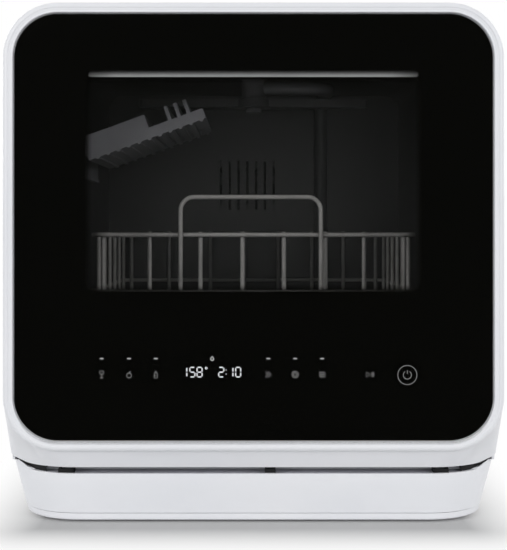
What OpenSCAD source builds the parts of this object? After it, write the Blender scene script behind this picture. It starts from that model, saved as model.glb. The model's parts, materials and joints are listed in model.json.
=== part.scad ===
// Countertop dishwasher with a glass door that tilts down, a roll-out wire rack and a folding shelf.
// Millimetres. The front faces -Y, Z is up, and the origin lies under the middle of the body.

/* [Body] */
// Overall width
body_w = 420; // [400:1:470]
// Overall depth from the glass to the rear cover
body_d = 435; // [430:1:500]
// Overall height above the worktop
body_h = 440; // [432:1:480]
// Corner radius of the front outline
body_r = 46; // [34:1:56]
// Wall of the cabinet shell and of the rear cover
shell_wall = 2.5; // [1.6:0.1:3.2]
// Depth of the rear cover
rear_t = 12; // [10:0.5:16]

/* [Base] */
// Height of the base at the slit under the door
base_h = 43; // [38:0.5:50]
// Height of the slit between the base and the door
slit_h = 6; // [5:0.25:9]
// Corner radius of the base seen from above
plan_r = 58; // [46:1:66]
// Setback of the base front behind the glass
base_setback = 14.5; // [12:0.5:20]
// Wall of the base shell
base_wall = 3; // [2:0.25:4]
// Height of the tray that closes the base from below
tray_h = 6; // [4:0.5:8]
// Height of each foot under the tray
foot_h = 2; // [1.5:0.25:3]
// Diameter of each foot
foot_d = 26; // [18:1:34]

/* [Door] */
// Thickness of the door frame
door_t = 39.5; // [36:0.5:44]
// Running gap between the door and the cabinet
door_gap = 1.5; // [1:0.25:3]
// Width of the white rim at the top and the sides of the glass
rim_w = 9; // [6:0.5:14]
// Width of the white rim under the glass
rim_low = 6; // [4:0.5:9]
// Rounding of the rim edge
rim_round = 3; // [1.5:0.25:4]
// Height of the sloped band under the rim
band_h = 15; // [13.5:0.5:17]
// Thickness of the front glass
glass_t = 4; // [3:0.25:5]
// Distance of the clear window from the walls and the ceiling of the tub
window_in = 24; // [22:0.5:40]
// Height of the lower edge of the clear window
window_z = 198; // [180:1:220]
// Corner radius of the clear window
window_r = 10; // [4:1:20]
// Thickness of the inner glass
inner_glass_t = 4; // [3:0.25:5]
// Diameter of the hinge pins
pin_d = 5; // [4:0.25:6]
// Distance of the hinge line behind the front of the glass
hinge_back = 17.5; // [16:0.25:19]
// Distance of each hinge arm from the side of the body
hinge_in = 50; // [42:1:58]
// Width of each hinge arm
arm_w = 8; // [6:0.5:10]

/* [Tub] */
// Width inside the tub
tub_w = 330; // [316:1:350]
// Height of the tub floor
tub_floor = 88; // [86:0.5:92]
// Height of the space over the tub
tub_over = 38; // [34:1:50]
// Depth of the service space behind the tub
service_d = 75.5; // [72:0.5:90]
// Wall of the tub
tub_wall = 2.5; // [1.5:0.25:3]
// Height of the sill at the mouth of the tub
sill_h = 14; // [12:0.5:16]
// Setback of the tub flange behind the cabinet edge
flange_back = 10.5; // [9:0.5:12]
// Width of the door seal
seal_w = 9; // [7:0.5:10]
// Diameter of the round cover on the rear wall
vent_d = 114; // [90:1:130]
// Distance of the round cover's middle below the tub ceiling
vent_drop = 102; // [92:1:115]

/* [Rack] */
// Gap between the tub wall and the rack
rack_side = 17; // [16:0.5:25]
// Gap between the rear wall of the tub and the rack
rack_rear = 23; // [21:0.5:40]
// Height of the rack floor
rack_z = 118; // [116:0.5:122]
// Height of the top rail
rail_z = 245; // [230:1:255]
// Diameter of the rack wire
wire_d = 4; // [3:0.25:4.5]
// Bend radius of the rack wire
wire_r = 12; // [8:0.5:16]
// Gap between the door lining and the rack at rest
rack_gap = 25; // [23:0.5:30]
// Diameter of the rack rollers
roller_d = 18; // [14:0.5:20]
// Width of the rack rollers
roller_w = 6; // [4:0.25:7]
// Distance between the two rollers of a side
roller_pitch = 110; // [90:1:120]
// Height of the handle loop
handle_z = 279; // [265:1:290]

/* [Spray arms] */
// Gap between the end of the lower spray arm and the tub wall
lower_arm_end = 34; // [25:1:60]
// Gap between the end of the upper spray arm and the tub wall
upper_arm_end = 50; // [35:1:70]
// Thickness of a spray arm
arm_t = 8; // [6:0.5:9]
// Diameter of the pipe to the upper spray arm
riser_d = 14; // [10:0.5:16]

/* [Shelf] */
// Length of the folding shelf out from the wall
shelf_l = 110; // [90:1:120]
// Depth of the folding shelf
shelf_d = 150; // [100:1:180]
// Height of the thick part of the shelf
shelf_t = 22; // [16:0.5:22]
// Tilt of the shelf at rest
shelf_tilt = 20; // [10:1:22]
// Distance of the shelf hinge below the tub ceiling
shelf_drop = 77.5; // [72:0.5:87]

/* [Filling and draining] */
// Diameter of the fill opening in the top
fill_d = 62; // [50:1:66]
// Distance of the fill opening to the left of the middle
fill_x = 126; // [115:1:128]
// Depth of the water tank
tank_t = 50; // [35:1:52]
// Outer diameter of the drain spigot
spigot_d = 18; // [14:0.5:22]
// Free length of the drain spigot behind the cover
spigot_l = 10; // [8:0.5:12]

/* [Hidden] */
$fn = 64;

// Clearances
fit = 0.3;
face_gap = 0.2;
run_gap = 0.06;

// Front-to-back stations
front = -body_d / 2;
back = body_d / 2;
door_back = front + door_t;
cab_front = door_back + door_gap;
flange_y = cab_front + flange_back;
cab_back = back - rear_t;
tub_back = cab_back - service_d;
tub_d = tub_back - flange_y;
hinge_y = front + hinge_back;
base_front = front + base_setback;

// Heights
door_bottom = base_h + slit_h;
hinge_z = door_bottom + band_h;
glass_z0 = hinge_z + rim_low;
glass_z1 = body_h - rim_w;
glass_hw = body_w / 2 - rim_w;
glass_r = body_r - rim_w;
mouth_z = tub_floor + sill_h;
tub_top = body_h - tub_over;
vent_z = tub_top - vent_drop;
shelf_z = tub_top - shelf_drop;
tray_top = foot_h + tray_h;
cheek_z = door_bottom + 0.5;
waist_z = 30;
side = body_w / 2;
inner_side = side - shell_wall;
hinge_x = side - hinge_in;
window_w = tub_w - 2 * window_in;
window_h = tub_top - window_in - window_z;
base_rear_r = 14;
mouth_r = 16;

// Door lining
panel_t = 2.5;
panel_y = door_back + panel_t;
plateau_y = door_back + 10;
plateau_in = 7;
panel_in = 6;

// Hinges
arm_h = 6.4;
arm_slot = arm_w / 2 + 1;
arm_foot = 14;
arm_foot_y = cab_front + 7;
block_w = 8;
block_h = 25;
block_x = arm_slot + block_w / 2;
arm_post_z = base_h - 9;

// Rack stations
rack_w = tub_w - 2 * rack_side;
rack_front = plateau_y + rack_gap;
rack_back = tub_back - rack_rear;
rack_d = rack_back - rack_front;
roller_z = rack_z + 22;
roller_y0 = rack_back - 18 - roller_pitch;
roller_y1 = rack_back - 18;
track_in = tub_w / 2 - 12;
roller_x = tub_w / 2 - 2.5 - roller_w / 2;
axle_d = 5;
cross_wires = 6;
long_x = [-94, -48, -10, 27.5, 65, 100];
tine_x = [-20, 74];
tine_h = 52;
tine_pitch = 22;
tine_in = 34;
tines = floor((rack_d - 2 * tine_in) / tine_pitch) + 1;
handle_x = [-65.5, 60.5];

// Wires of the basket: the loops lie outside, and the upright wires are welded inside them
weld = 0.8;
basket_hw = rack_w / 2 - wire_d / 2;
basket_y0 = rack_front + wire_d / 2;
basket_y1 = rack_back - wire_d / 2;
wall_in = wire_d - weld;
floor_in = wall_in + wire_r + 4;
loop_r = wire_r + 2;
loop_z = [rail_z, (rail_z + rack_z) / 2 + 12, rack_z + wire_d / 2 + 12];
cross_z = rack_z + wire_d / 2;
long_z = cross_z + wall_in;
edge_wire_in = 10;

// Spray centre, sump and pump places
lower_arm_l = tub_w - 2 * lower_arm_end;
upper_arm_l = tub_w - 2 * upper_arm_end;
arm_y = flange_y + tub_d / 2 - 2;
sump_x = 88;
sump_y = flange_y + 74;
sump_r = 46;
cup_r = 33;
cup_rim = 5;
suction_d = 20;
feed_d = 18;
pipe_wall = 2;
pipe_r = 22;
arm_z = tub_floor + 12;
hub_d = 13;
upper_hub_d = 10;
upper_z = tub_top - 30;
pump_y = arm_y + 92;
pump_z = 50;
pump_r = 33;
pump_wall = 3;
pump_len = 30;
port_x = 15;
port_z = pump_z + 12;
motor_r = 26;
motor_len = 74;
shaft_d = 6;
riser_x = 76;
riser_y = tub_back - riser_d / 2 - 4;
drain_x = 128;
drain_z = 34;
drain_r = 22;
drain_y = pump_y - 6;
outlet_y = drain_y + 11;
spigot_z = drain_z + 40;
bay_d = spigot_d + 24;
heater_d = 8;
heater_clear = 5.7;
heater_r = norm([sump_x, arm_y - sump_y]) - cup_r - cup_rim - heater_d / 2 - heater_clear;
heater_z = tub_floor + heater_d / 2 + 3;
heater_leg = 12;
heater_leg_y = sqrt(heater_r * heater_r - heater_leg * heater_leg);
float_x = -tub_w / 2 + 47;
float_y = arm_y - 96;
float_r = 13;
post_r = 4;

// Tank, fan and fill places
tank_y1 = cab_back - 2;
tank_y0 = tank_y1 - tank_t;
tank_hw = inner_side - 8;
tank_col_x = -76;
tank_right = drain_x - bay_d / 2 - 8;
fill_r = fill_d / 2;
fill_y = tank_y0 + 12;
lid_t = 2.2;
lid_pin_d = 2.4;
lid_axis_y = fill_y + fill_r + 5;
lid_axis_z = body_h - 3;
lid_tab = 8;
neck_d = 34;
neck_y = tank_y0 + tank_t / 2;
fan_r = 40;
fan_rim = 6;
tank_gap = 22;
tank_low_z1 = vent_z - fan_r - fan_rim - tank_gap;
fan_shaft_d = 5;
vent_off = 7;
vent_slot = 4;
fan_y0 = tub_back + tub_wall + fit;
fan_y1 = fan_y0 + 34;
board_x = 82;
board_w = 100;
board_z0 = 250;
board_z1 = 380;
inlet_x = -148;
inlet_z = 80;
inlet_hw = 22;
inlet_hh = 12;

// Shelf hinge
shelf_x = -tub_w / 2 + 7;
shelf_y0 = rack_front + 10;
shelf_pin = 5;
shelf_lug = 4.5;

// Display, dispenser and lock places on the door
display_z = 129.5;
key_x = [-127.3, -104.3, -81.9, 12.4, 35, 57.6];
power_x = 129;
dispenser_z = 150;
dispenser_hw = 48;
dispenser_z0 = dispenser_z - 31;
dispenser_z1 = dispenser_z + 16.5;
strike_z = tub_top + 18;
bolt_d = 6;
bolt_y = flange_y - 4.5;
bolt_drop = 9;

white = [0.89, 0.89, 0.91];
dark = [0.13, 0.13, 0.14];
grey = [0.42, 0.42, 0.43];
steel = [0.72, 0.73, 0.75];

// ---------- shapes in use everywhere ----------

// Rounded rectangle between two corners
module rrect(x0, x1, y0, y1, r) {
    union() {
        translate([x0 + r, y0]) square([x1 - x0 - 2 * r, y1 - y0]);
        translate([x0, y0 + r]) square([x1 - x0, y1 - y0 - 2 * r]);
        for (x = [x0 + r, x1 - r], y = [y0 + r, y1 - r]) translate([x, y]) circle(r);
    }
}

// Upright outline with one radius at the top corners and another at the bottom corners
module arch(hw, z0, z1, rt, rb) {
    union() {
        translate([-hw + rt, z1 - rt]) square([2 * (hw - rt), rt]);
        translate([-hw, z0 + rb]) square([2 * hw, z1 - z0 - rb - rt]);
        translate([-hw + rb, z0]) square([2 * (hw - rb), rb + 1]);
        for (s = [-1, 1]) {
            translate([s * (hw - rt), z1 - rt]) circle(rt);
            translate([s * (hw - rb), z0 + rb]) circle(rb);
        }
    }
}

// Outline in X and Z, drawn out from y0 to y1
module along_y(y0, y1) {
    translate([0, y1, 0]) rotate([90, 0, 0]) linear_extrude(y1 - y0) children();
}

// Outline in Y and Z, drawn out from x0 to x1
module along_x(x0, x1) {
    translate([x0, 0, 0]) rotate([90, 0, 90]) linear_extrude(x1 - x0) children();
}

// Outline in X and Y, drawn out from z0 to z1
module along_z(z0, z1) {
    translate([0, 0, z0]) linear_extrude(z1 - z0) children();
}

module rod_x(x0, x1, y, z, d) {
    translate([x0, y, z]) rotate([0, 90, 0]) cylinder(h = x1 - x0, d = d);
}

module rod_y(y0, y1, x, z, d) {
    translate([x, y1, z]) rotate([90, 0, 0]) cylinder(h = y1 - y0, d = d);
}

module rod_z(z0, z1, x, y, d) {
    translate([x, y, z0]) cylinder(h = z1 - z0, d = d);
}

module block(x0, x1, y0, y1, z0, z1) {
    translate([x0, y0, z0]) cube([x1 - x0, y1 - y0, z1 - z0]);
}

// Direction of a path's segment, its turn at a point, and what a bend takes off there
function way(p, i) = (p[i + 1] - p[i]) / norm(p[i + 1] - p[i]);
function cross2(a, b) = a.x * b.y - a.y * b.x;
function turn(p, i) = atan2(cross2(way(p, i - 1), way(p, i)), way(p, i - 1) * way(p, i));
function inner_point(p, i) = i > 0 && i < len(p) - 1;
function trim(p, i, r) = inner_point(p, i) ? r * tan(abs(turn(p, i)) / 2) : 0;

// Round rod along a flat path with bends of radius r
module bent_rod(p, d, r) {
    for (i = [0 : len(p) - 2]) {
        u = way(p, i);
        a = p[i] + u * trim(p, i, r);
        b = p[i + 1] - u * trim(p, i + 1, r);
        translate([a.x, a.y, 0]) rotate([0, 90, atan2(u.y, u.x)]) cylinder(h = norm(b - a), d = d);
    }
    for (i = [1 : 1 : len(p) - 2]) {
        u = way(p, i - 1);
        t = turn(p, i);
        n = sign(t) * [-u.y, u.x];
        c = p[i] - u * trim(p, i, r) + n * r;
        translate([c.x, c.y, 0]) rotate([0, 0, atan2(-n.y, -n.x) + min(t, 0)])
            rotate_extrude(angle = abs(t)) translate([r, 0]) circle(d = d);
    }
}

// Path in X and Z at a given y, and path in Y and Z at a given x
module rod_path_xz(p, y, d, r) {
    translate([0, y, 0]) rotate([90, 0, 0]) bent_rod(p, d, r);
}

module rod_path_yz(p, x, d, r) {
    translate([x, 0, 0]) rotate([90, 0, 90]) bent_rod(p, d, r);
}

// Pipe along a flat path
module bent_pipe(p, d, wall, r) {
    difference() {
        bent_rod(p, d, r);
        bent_rod(extended(p, 1), d - 2 * wall, r);
    }
}

function extended(p, e) = [
    for (i = [0 : len(p) - 1])
        i == 0 ? p[0] - way(p, 0) * e :
        i == len(p) - 1 ? p[i] + way(p, i - 1) * e : p[i]
];

// ---------- outer body ----------

module cabinet_shell() {
    color(white) difference() {
        along_y(cab_front, cab_back) arch(side, cheek_z, body_h, body_r, 1.5);
        along_y(cab_front - 1, cab_back + 1)
            arch(inner_side, cheek_z - 10, body_h - shell_wall, body_r - shell_wall, 1);
        rod_z(body_h - 20, body_h + 1, -fill_x, fill_y, fill_d + 1);
        block(-fill_x - lid_tab - 5, -fill_x + lid_tab + 5, fill_y, lid_axis_y + 5, body_h - 8, body_h + 1);
    }
}

// Upright slot through the rear cover, from z0 to z1
module slot(x, z0, z1) {
    along_y(back - 6, back + 1) rrect(x - vent_slot / 2, x + vent_slot / 2, z0, z1, vent_slot / 2 - 0.1);
}

module rear_cover() {
    skirt = 6;
    difference() {
        color(white) along_y(cab_back, back) arch(side, cheek_z, body_h, body_r, 1.5);
        along_y(cab_back - 1, back - shell_wall)
            arch(inner_side, cheek_z + skirt, body_h - shell_wall, body_r - shell_wall, 1);
        // Vent slots in front of the fan
        for (i = [-4 : 4])
            slot(i * 9 - vent_off, vent_z - fan_r + 6, vent_z + fan_r - 6);
        // Row of slots in front of the board
        for (i = [0 : 7])
            slot(board_x + 8 + i * 11, board_z0, board_z0 + 50);
        along_y(back - 6, back + 1)
            rrect(inlet_x - inlet_hw - 2, inlet_x + inlet_hw + 2,
                  inlet_z - inlet_hh - 2, inlet_z + inlet_hh + 2, 4);
        rod_y(back - 6, back + 1, drain_x, spigot_z, bay_d);
    }
}

// Base outline seen from above: round front corners, tighter rear corners
module base_plan(hw, y0, y1, rf, rr) {
    union() {
        translate([-hw + rf, y0]) square([2 * (hw - rf), rf + 1]);
        translate([-hw, y0 + rf]) square([2 * hw, y1 - y0 - rf - rr]);
        translate([-hw + rr, y1 - rr - 1]) square([2 * (hw - rr), rr + 1]);
        for (s = [-1, 1]) {
            translate([s * (hw - rf), y0 + rf]) circle(rf);
            translate([s * (hw - rr), y1 - rr]) circle(rr);
        }
    }
}

// Slices of the base at its waist and at its lower edge, shrunk all round by i
module base_lower(i, z0) {
    along_z(waist_z, waist_z + 0.5)
        base_plan(side - 2.5 - i, base_front + 0.5 + i, back - i, plan_r - i, base_rear_r);
    along_z(z0, z0 + 0.5)
        base_plan(side - 7 - i, base_front + 5 + i, back - 4 - i, plan_r - 4 - i, base_rear_r - 2);
}

// Bowl of the base, shrunk all round by i
module base_bowl(i, z0) {
    hull() {
        along_z(base_h - 0.5, base_h)
            base_plan(side - 2 - i, base_front + i, back - i, plan_r - i, base_rear_r);
        base_lower(i, z0);
    }
}

// Cheeks that rise to meet the cabinet behind the slit
module base_cheek(i, z0) {
    hull() {
        along_z(cheek_z - 0.7 - i, cheek_z - face_gap - i)
            base_plan(side - i, cab_front + i, back - i, base_rear_r - 2, base_rear_r - 2);
        base_lower(i, z0);
    }
}

module base_shell() {
    color(white) difference() {
        union() {
            base_bowl(0, tray_top + 0.5);
            base_cheek(0, tray_top + 0.5);
        }
        base_bowl(base_wall, tray_top - 3);
        base_cheek(base_wall, tray_top - 3);
        // Open top behind the toe panel
        block(-inner_side + 6, inner_side - 6, cab_front + 12, back - 12, base_h - 10, cheek_z + 5);
        // Passages for the hinge arms
        for (s = [-1, 1])
            block(s * hinge_x - arm_slot, s * hinge_x + arm_slot,
                  cab_front - 2, cab_front + 20, base_h - 6, cheek_z + 5);
    }
}

module base_tray() {
    color(white) union() {
        hull() {
            along_z(tray_top - 1, tray_top) base_plan(side - 8, base_front + 6, back - 5, plan_r - 5, 11);
            along_z(foot_h + 1.5, foot_h + 2) base_plan(side - 11, base_front + 9, back - 8, plan_r - 7, 11);
            along_z(foot_h, foot_h + 0.5) base_plan(side - 15, base_front + 13, back - 12, plan_r - 10, 11);
        }
        // Posts under the pump, the sump and the hinge arms
        for (s = [-1, 1])
            block(s * hinge_x - 10, s * hinge_x + 10, arm_foot_y - 1, arm_foot_y + arm_foot + 3,
                  tray_top - 1, arm_post_z);
        block(-motor_len / 2 - 10, -motor_len / 2 + 10, pump_y - 12, pump_y + 12,
              tray_top - 1, pump_z - motor_r - fit);
        block(drain_x - 12, drain_x + 12, drain_y + 2, drain_y + 20, tray_top - 1, drain_z - drain_r - fit);
    }
}

module feet() {
    foot_x = side - 62;
    color(dark) for (x = [-foot_x, foot_x], y = [base_front + 56, back - 52])
        rod_z(0, foot_h, x, y, foot_d);
}

module toe_panel() {
    color(grey) difference() {
        block(-inner_side + 2, inner_side - 2, cab_front + 3, cab_front + 5.5,
              cheek_z, tub_floor - tub_wall - 1);
        for (s = [-1, 1])
            block(s * hinge_x - arm_slot, s * hinge_x + arm_slot,
                  cab_front, cab_front + 8, cheek_z - 1, hinge_z + 8);
    }
}

// ---------- tub ----------

module mouth(extra) {
    arch(tub_w / 2 + extra, mouth_z - extra, tub_top + extra, mouth_r + extra, mouth_r + extra);
}

module floor_hole(x, y, d) {
    rod_z(tub_floor - 8, tub_floor + 2, x, y, d);
}

module tub() {
    hw = tub_w / 2;
    color(grey) difference() {
        union() {
            // Flange around the mouth
            along_y(flange_y, flange_y + 3)
                arch(inner_side - face_gap, tub_floor - tub_wall, body_h - shell_wall - face_gap,
                     body_r - shell_wall - face_gap, 4);
            // Box
            along_y(flange_y, tub_back + tub_wall)
                arch(hw + tub_wall, tub_floor - tub_wall, tub_top + tub_wall, mouth_r + tub_wall, 10);
        }
        along_y(flange_y - 1, flange_y + 8) mouth(0);
        along_y(flange_y + 6, tub_back) arch(hw, tub_floor, tub_top, mouth_r, 8);
        floor_hole(sump_x, sump_y, 2 * (cup_r + 6));
        floor_hole(0, arm_y, feed_d + 2);
        floor_hole(float_x, float_y, 2 * (post_r + 2) + 2 * fit);
        for (s = [-1, 1]) floor_hole(s * heater_leg, arm_y + heater_leg_y, heater_d + 2 * fit);
        floor_hole(riser_x, riser_y, riser_d + 2 * fit);
        rod_y(tub_back - 2, tub_back + 6, -vent_off, vent_z, vent_d - 40);
    }
}

module door_seal() {
    y1 = flange_y - 0.05;
    y0 = panel_y + face_gap;
    color(dark) difference() {
        along_y(y0, y1) mouth(3 + seal_w);
        along_y(y0 - 1, y1 + 1) mouth(3);
    }
}

module rack_rail() {
    x0 = track_in;
    x1 = tub_w / 2 - face_gap;
    y0 = flange_y + 9;
    y1 = tub_back - 6;
    low = roller_z - roller_d / 2 - fit;
    high = roller_z + roller_d / 2 + fit;
    color(steel) union() {
        block(x1 - 1.5, x1, y0, y1, low - 3, high + 3);
        block(x0, x1, y0, y1, low - 3, low);
        block(x0, x1, y0, y1, high, high + 3);
        block(x0, x1, y1 - 3, y1, low - 3, high + 3);
    }
}

module rack_rails() for (s = [0, 1]) mirror([s, 0, 0]) rack_rail();

module vent_cover() {
    y1 = tub_back - face_gap;
    color(grey) difference() {
        union() {
            rod_y(y1 - 6, y1, -vent_off, vent_z, vent_d);
            rod_y(y1 - 9, y1, -vent_off, vent_z, vent_d - 26);
        }
        for (i = [-3 : 3])
            along_y(y1 - 12, y1 + 1)
                rrect(i * 10 - 1.5 - vent_off, i * 10 + 1.5 - vent_off, vent_z - 28, vent_z + 28, 1.4);
    }
}

// ---------- sump and filter ----------

module sump() {
    top = tub_floor - tub_wall - 0.1;
    bottom = pump_z - 12;
    color(dark) difference() {
        union() {
            rod_z(bottom, top, sump_x, sump_y, 2 * sump_r);
            rod_y(sump_y, sump_y + sump_r + 10, sump_x, pump_z, suction_d + 4);
        }
        rod_z(bottom + 3, top + 1, sump_x, sump_y, 2 * (sump_r - 3));
        rod_y(sump_y, sump_y + sump_r + 11, sump_x, pump_z, suction_d + 2 * fit);
    }
}

module filter_plate() {
    color(steel) difference() {
        rod_z(tub_floor, tub_floor + 1.5, sump_x, sump_y, 2 * (cup_r + 18));
        rod_z(tub_floor - 1, tub_floor + 3, sump_x, sump_y, 2 * (cup_r + fit));
        for (k = [0 : 23])
            translate([sump_x, sump_y, tub_floor - 1]) rotate(k * 15)
                translate([cup_r + 10, 0, 0]) cylinder(h = 4, d = 4, $fn = 24);
    }
}

module filter_cup() {
    z0 = pump_z - 6;
    z1 = tub_floor + 1.5;
    color(grey) difference() {
        union() {
            rod_z(z0, z1 + 2, sump_x, sump_y, 2 * cup_r);
            rod_z(z1 + 0.2, z1 + 2, sump_x, sump_y, 2 * (cup_r + cup_rim));
            block(sump_x - 3, sump_x + 3, sump_y - cup_r + 1, sump_y + cup_r - 1, z1 - 10, z1 + 6);
        }
        difference() {
            rod_z(z0 + 2, z1 + 3, sump_x, sump_y, 2 * (cup_r - 2));
            block(sump_x - 3, sump_x + 3, sump_y - cup_r, sump_y + cup_r, z1 - 10, z1 + 6);
        }
        for (k = [0 : 11])
            translate([sump_x, sump_y, z0 + 6]) rotate(k * 30 + 15)
                translate([cup_r - 4, -2, 0]) cube([8, 4, z1 - z0 - 22]);
    }
}

module heater_ring() {
    gap = asin(heater_leg / heater_r);
    color(steel) union() {
        translate([0, arm_y, heater_z]) rotate([0, 0, 90 + gap]) rotate_extrude(angle = 360 - 2 * gap)
            translate([heater_r, 0]) circle(d = heater_d);
        // Ferrules on the floor and the ends that pass through it
        translate([0, arm_y + heater_leg_y, 0]) for (x = [-heater_leg, heater_leg]) {
            rod_z(tub_floor, heater_z + heater_d / 2 + fit, x, 0, heater_d + 3);
            rod_z(tub_floor - tub_wall - 12, heater_z, x, 0, heater_d);
        }
    }
}

module float_guide() {
    color(grey) difference() {
        union() {
            rod_z(tub_floor - tub_wall - 14, tub_floor + 4, float_x, float_y, 2 * (post_r + 2));
            rod_z(tub_floor, tub_floor + 2, float_x, float_y, 2 * float_r);
        }
        rod_z(tub_floor - tub_wall - 20, tub_floor + 10, float_x, float_y, 2 * (post_r + run_gap));
    }
}

module float() {
    z = tub_floor + 4.5;
    color(white) union() {
        rod_z(z, z + 14, float_x, float_y, 2 * float_r);
        rod_z(tub_floor - tub_wall - 12, z + 2, float_x, float_y, 2 * post_r);
    }
}

// ---------- wash pump and pipes ----------

module pump_housing() {
    color(dark) difference() {
        union() {
            rod_x(0, pump_len, pump_y, pump_z, 2 * pump_r);
            rod_x(pump_len - 1, pump_len + 12, pump_y, pump_z, suction_d + 4);
            rod_y(pump_y - pump_r - 12, pump_y, port_x, port_z, feed_d + 4);
        }
        rod_x(pump_wall, pump_len - pump_wall, pump_y, pump_z, 2 * (pump_r - pump_wall));
        rod_x(-1, pump_wall + 1, pump_y, pump_z, shaft_d + 2 * run_gap);
        rod_x(pump_len - pump_wall - 1, pump_len + 20, pump_y, pump_z, suction_d + 2 * fit);
        rod_y(pump_y - pump_r - 13, pump_y, port_x, port_z, feed_d + 2 * fit);
    }
}

module pump_motor() {
    x1 = -0.05;
    color(steel) difference() {
        rod_x(x1 - motor_len, x1, pump_y, pump_z, 2 * motor_r);
        rod_x(x1 - motor_len + 3, x1 - 3, pump_y, pump_z, 2 * (motor_r - 3));
        rod_x(x1 - 4, x1 + 1, pump_y, pump_z, shaft_d + 2 * run_gap);
        rod_x(x1 - motor_len - 1, x1 - motor_len + 4, pump_y, pump_z, shaft_d + 2 * run_gap);
    }
}

module pump_rotor() {
    color(grey) union() {
        rod_x(-motor_len - 4, pump_len - 10, pump_y, pump_z, shaft_d);
        rod_x(-motor_len + 12, -14, pump_y, pump_z, 2 * (motor_r - 8));
        rod_x(pump_wall + 3, pump_wall + 6, pump_y, pump_z, 2 * (pump_r - pump_wall - 4));
        for (k = [0 : 5])
            translate([pump_wall + 5, pump_y, pump_z]) rotate([k * 60, 0, 0])
                translate([0, -1.1, shaft_d / 2 - 1]) cube([pump_len - 19, 2.2, pump_r - pump_wall - 9]);
    }
}

module suction_pipe() {
    y0 = sump_y + sump_r - 2;
    x1 = pump_len + 3;
    color(dark) translate([0, 0, pump_z])
        bent_pipe([[sump_x, y0], [sump_x, pump_y], [x1, pump_y]], suction_d, pipe_wall, pipe_r);
}

module feed_pipe() {
    z1 = arm_z + fit;
    y1 = pump_y - pump_r - 2;
    cap_z = arm_z + arm_t + 0.8;
    color(dark) union() {
        translate([port_x, 0, port_z]) rotate([90, 0, 90])
            bent_pipe([[y1, 0], [arm_y, 0]], feed_d, pipe_wall, 12);
        difference() {
            union() {
                rod_z(port_z - 11, port_z + 11, port_x, arm_y - 8, 24);
                block(0, port_x, arm_y - 16, arm_y, port_z - 11, port_z + 11);
                rod_z(port_z - 11, z1, 0, arm_y, feed_d);
                // Spigot that carries the arm, and its cap
                rod_z(z1 - 1, cap_z + 0.5, 0, arm_y, hub_d);
                rod_z(cap_z, cap_z + 2, 0, arm_y, hub_d + 7);
            }
            rod_z(port_z - 8, cap_z - 1, 0, arm_y, hub_d - 4);
            block(-2, port_x + 2, arm_y - 12, arm_y - 4, port_z - 7, port_z + 7);
        }
    }
}

module riser_pipe() {
    z0 = tub_floor - 20;
    z1 = tub_top - riser_d / 2 - 3;
    color(grey) union() {
        translate([riser_x, 0, 0]) rotate([90, 0, 90])
            bent_pipe([[riser_y, z0], [riser_y, z1], [arm_y + 40, z1]], riser_d, pipe_wall, 18);
        translate([0, 0, z1])
            bent_pipe([[riser_x, arm_y + 40], [riser_x, arm_y], [0, arm_y]], riser_d, pipe_wall, 18);
        difference() {
            union() {
                rod_z(upper_z + arm_t + face_gap, tub_top - face_gap, 0, arm_y, 24);
                rod_z(upper_z - 3, upper_z + arm_t + 2, 0, arm_y, upper_hub_d);
                rod_z(upper_z - 4, upper_z - face_gap, 0, arm_y, upper_hub_d + 6);
            }
            rod_z(upper_z, z1, 0, arm_y, 6);
        }
    }
}

// Two-bladed arm about the spray centre, lying between z and z + arm_t
module spray_arm(z, span, hub_d, bore_d, face) {
    half = span / 2;
    difference() {
        along_z(z, z + arm_t) union() {
            translate([0, arm_y]) circle(d = hub_d);
            translate([0, arm_y]) polygon([
                [-half + 9, -9], [-14, -13], [14, -13], [half - 9, -9],
                [half - 9, 9], [14, 13], [-14, 13], [-half + 9, 9]
            ]);
            for (s = [-1, 1]) translate([s * (half - 9), arm_y]) circle(9);
        }
        rod_z(z - 1, z + arm_t + 1, 0, arm_y, bore_d);
        for (s = [-1, 1], k = [0 : 4])
            translate([s * (34 + k * (half - 50) / 4), arm_y + s * (k % 2 == 0 ? 3 : -3), face - 1])
                cylinder(h = 2.5, d = 3, $fn = 24);
    }
}

module lower_spray_arm() {
    color(grey) spray_arm(arm_z + 0.5, lower_arm_l, 44, hub_d + 2 * run_gap, arm_z + arm_t);
}

module upper_spray_arm() {
    color(grey) spray_arm(upper_z, upper_arm_l, 40, upper_hub_d + 2 * run_gap, upper_z);
}

module drain_pump() {
    top = drain_z + drain_r + 3;
    color(dark) difference() {
        union() {
            rod_y(drain_y, drain_y + 22, drain_x, drain_z, 2 * drain_r);
            rod_y(drain_y + 22, drain_y + 56, drain_x, drain_z, 2 * drain_r - 8);
            rod_z(drain_z + 10, top, drain_x, outlet_y, spigot_d);
        }
        rod_y(drain_y + 3, drain_y + 19, drain_x, drain_z, 2 * drain_r - 6);
        rod_y(drain_y + 18, drain_y + 40, drain_x, drain_z, shaft_d + 2 * run_gap);
        rod_z(drain_z + 12, top + 1, drain_x, outlet_y, spigot_d - 6);
    }
}

module drain_impeller() {
    color(grey) union() {
        rod_y(drain_y + 5, drain_y + 38, drain_x, drain_z, shaft_d);
        for (k = [0 : 3])
            translate([drain_x, drain_y + 7, drain_z]) rotate([0, k * 90 + 30, 0])
                translate([-1.25, 0, shaft_d / 2 - 1]) cube([2.5, 9, drain_r - 9]);
    }
}

module drain_spigot() {
    flange = back - shell_wall - spigot_l;
    color(grey) union() {
        translate([drain_x, 0, 0]) rotate([90, 0, 90])
            bent_pipe([
                [back - 0.5, spigot_z], [outlet_y, spigot_z], [outlet_y, drain_z + drain_r + 3.2]
            ], spigot_d, 3, 12);
        difference() {
            rod_y(flange - 2, flange, drain_x, spigot_z, bay_d + 10);
            rod_y(flange - 3, flange + 1, drain_x, spigot_z, spigot_d - 1);
        }
    }
}

// ---------- tank and filling ----------

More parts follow.
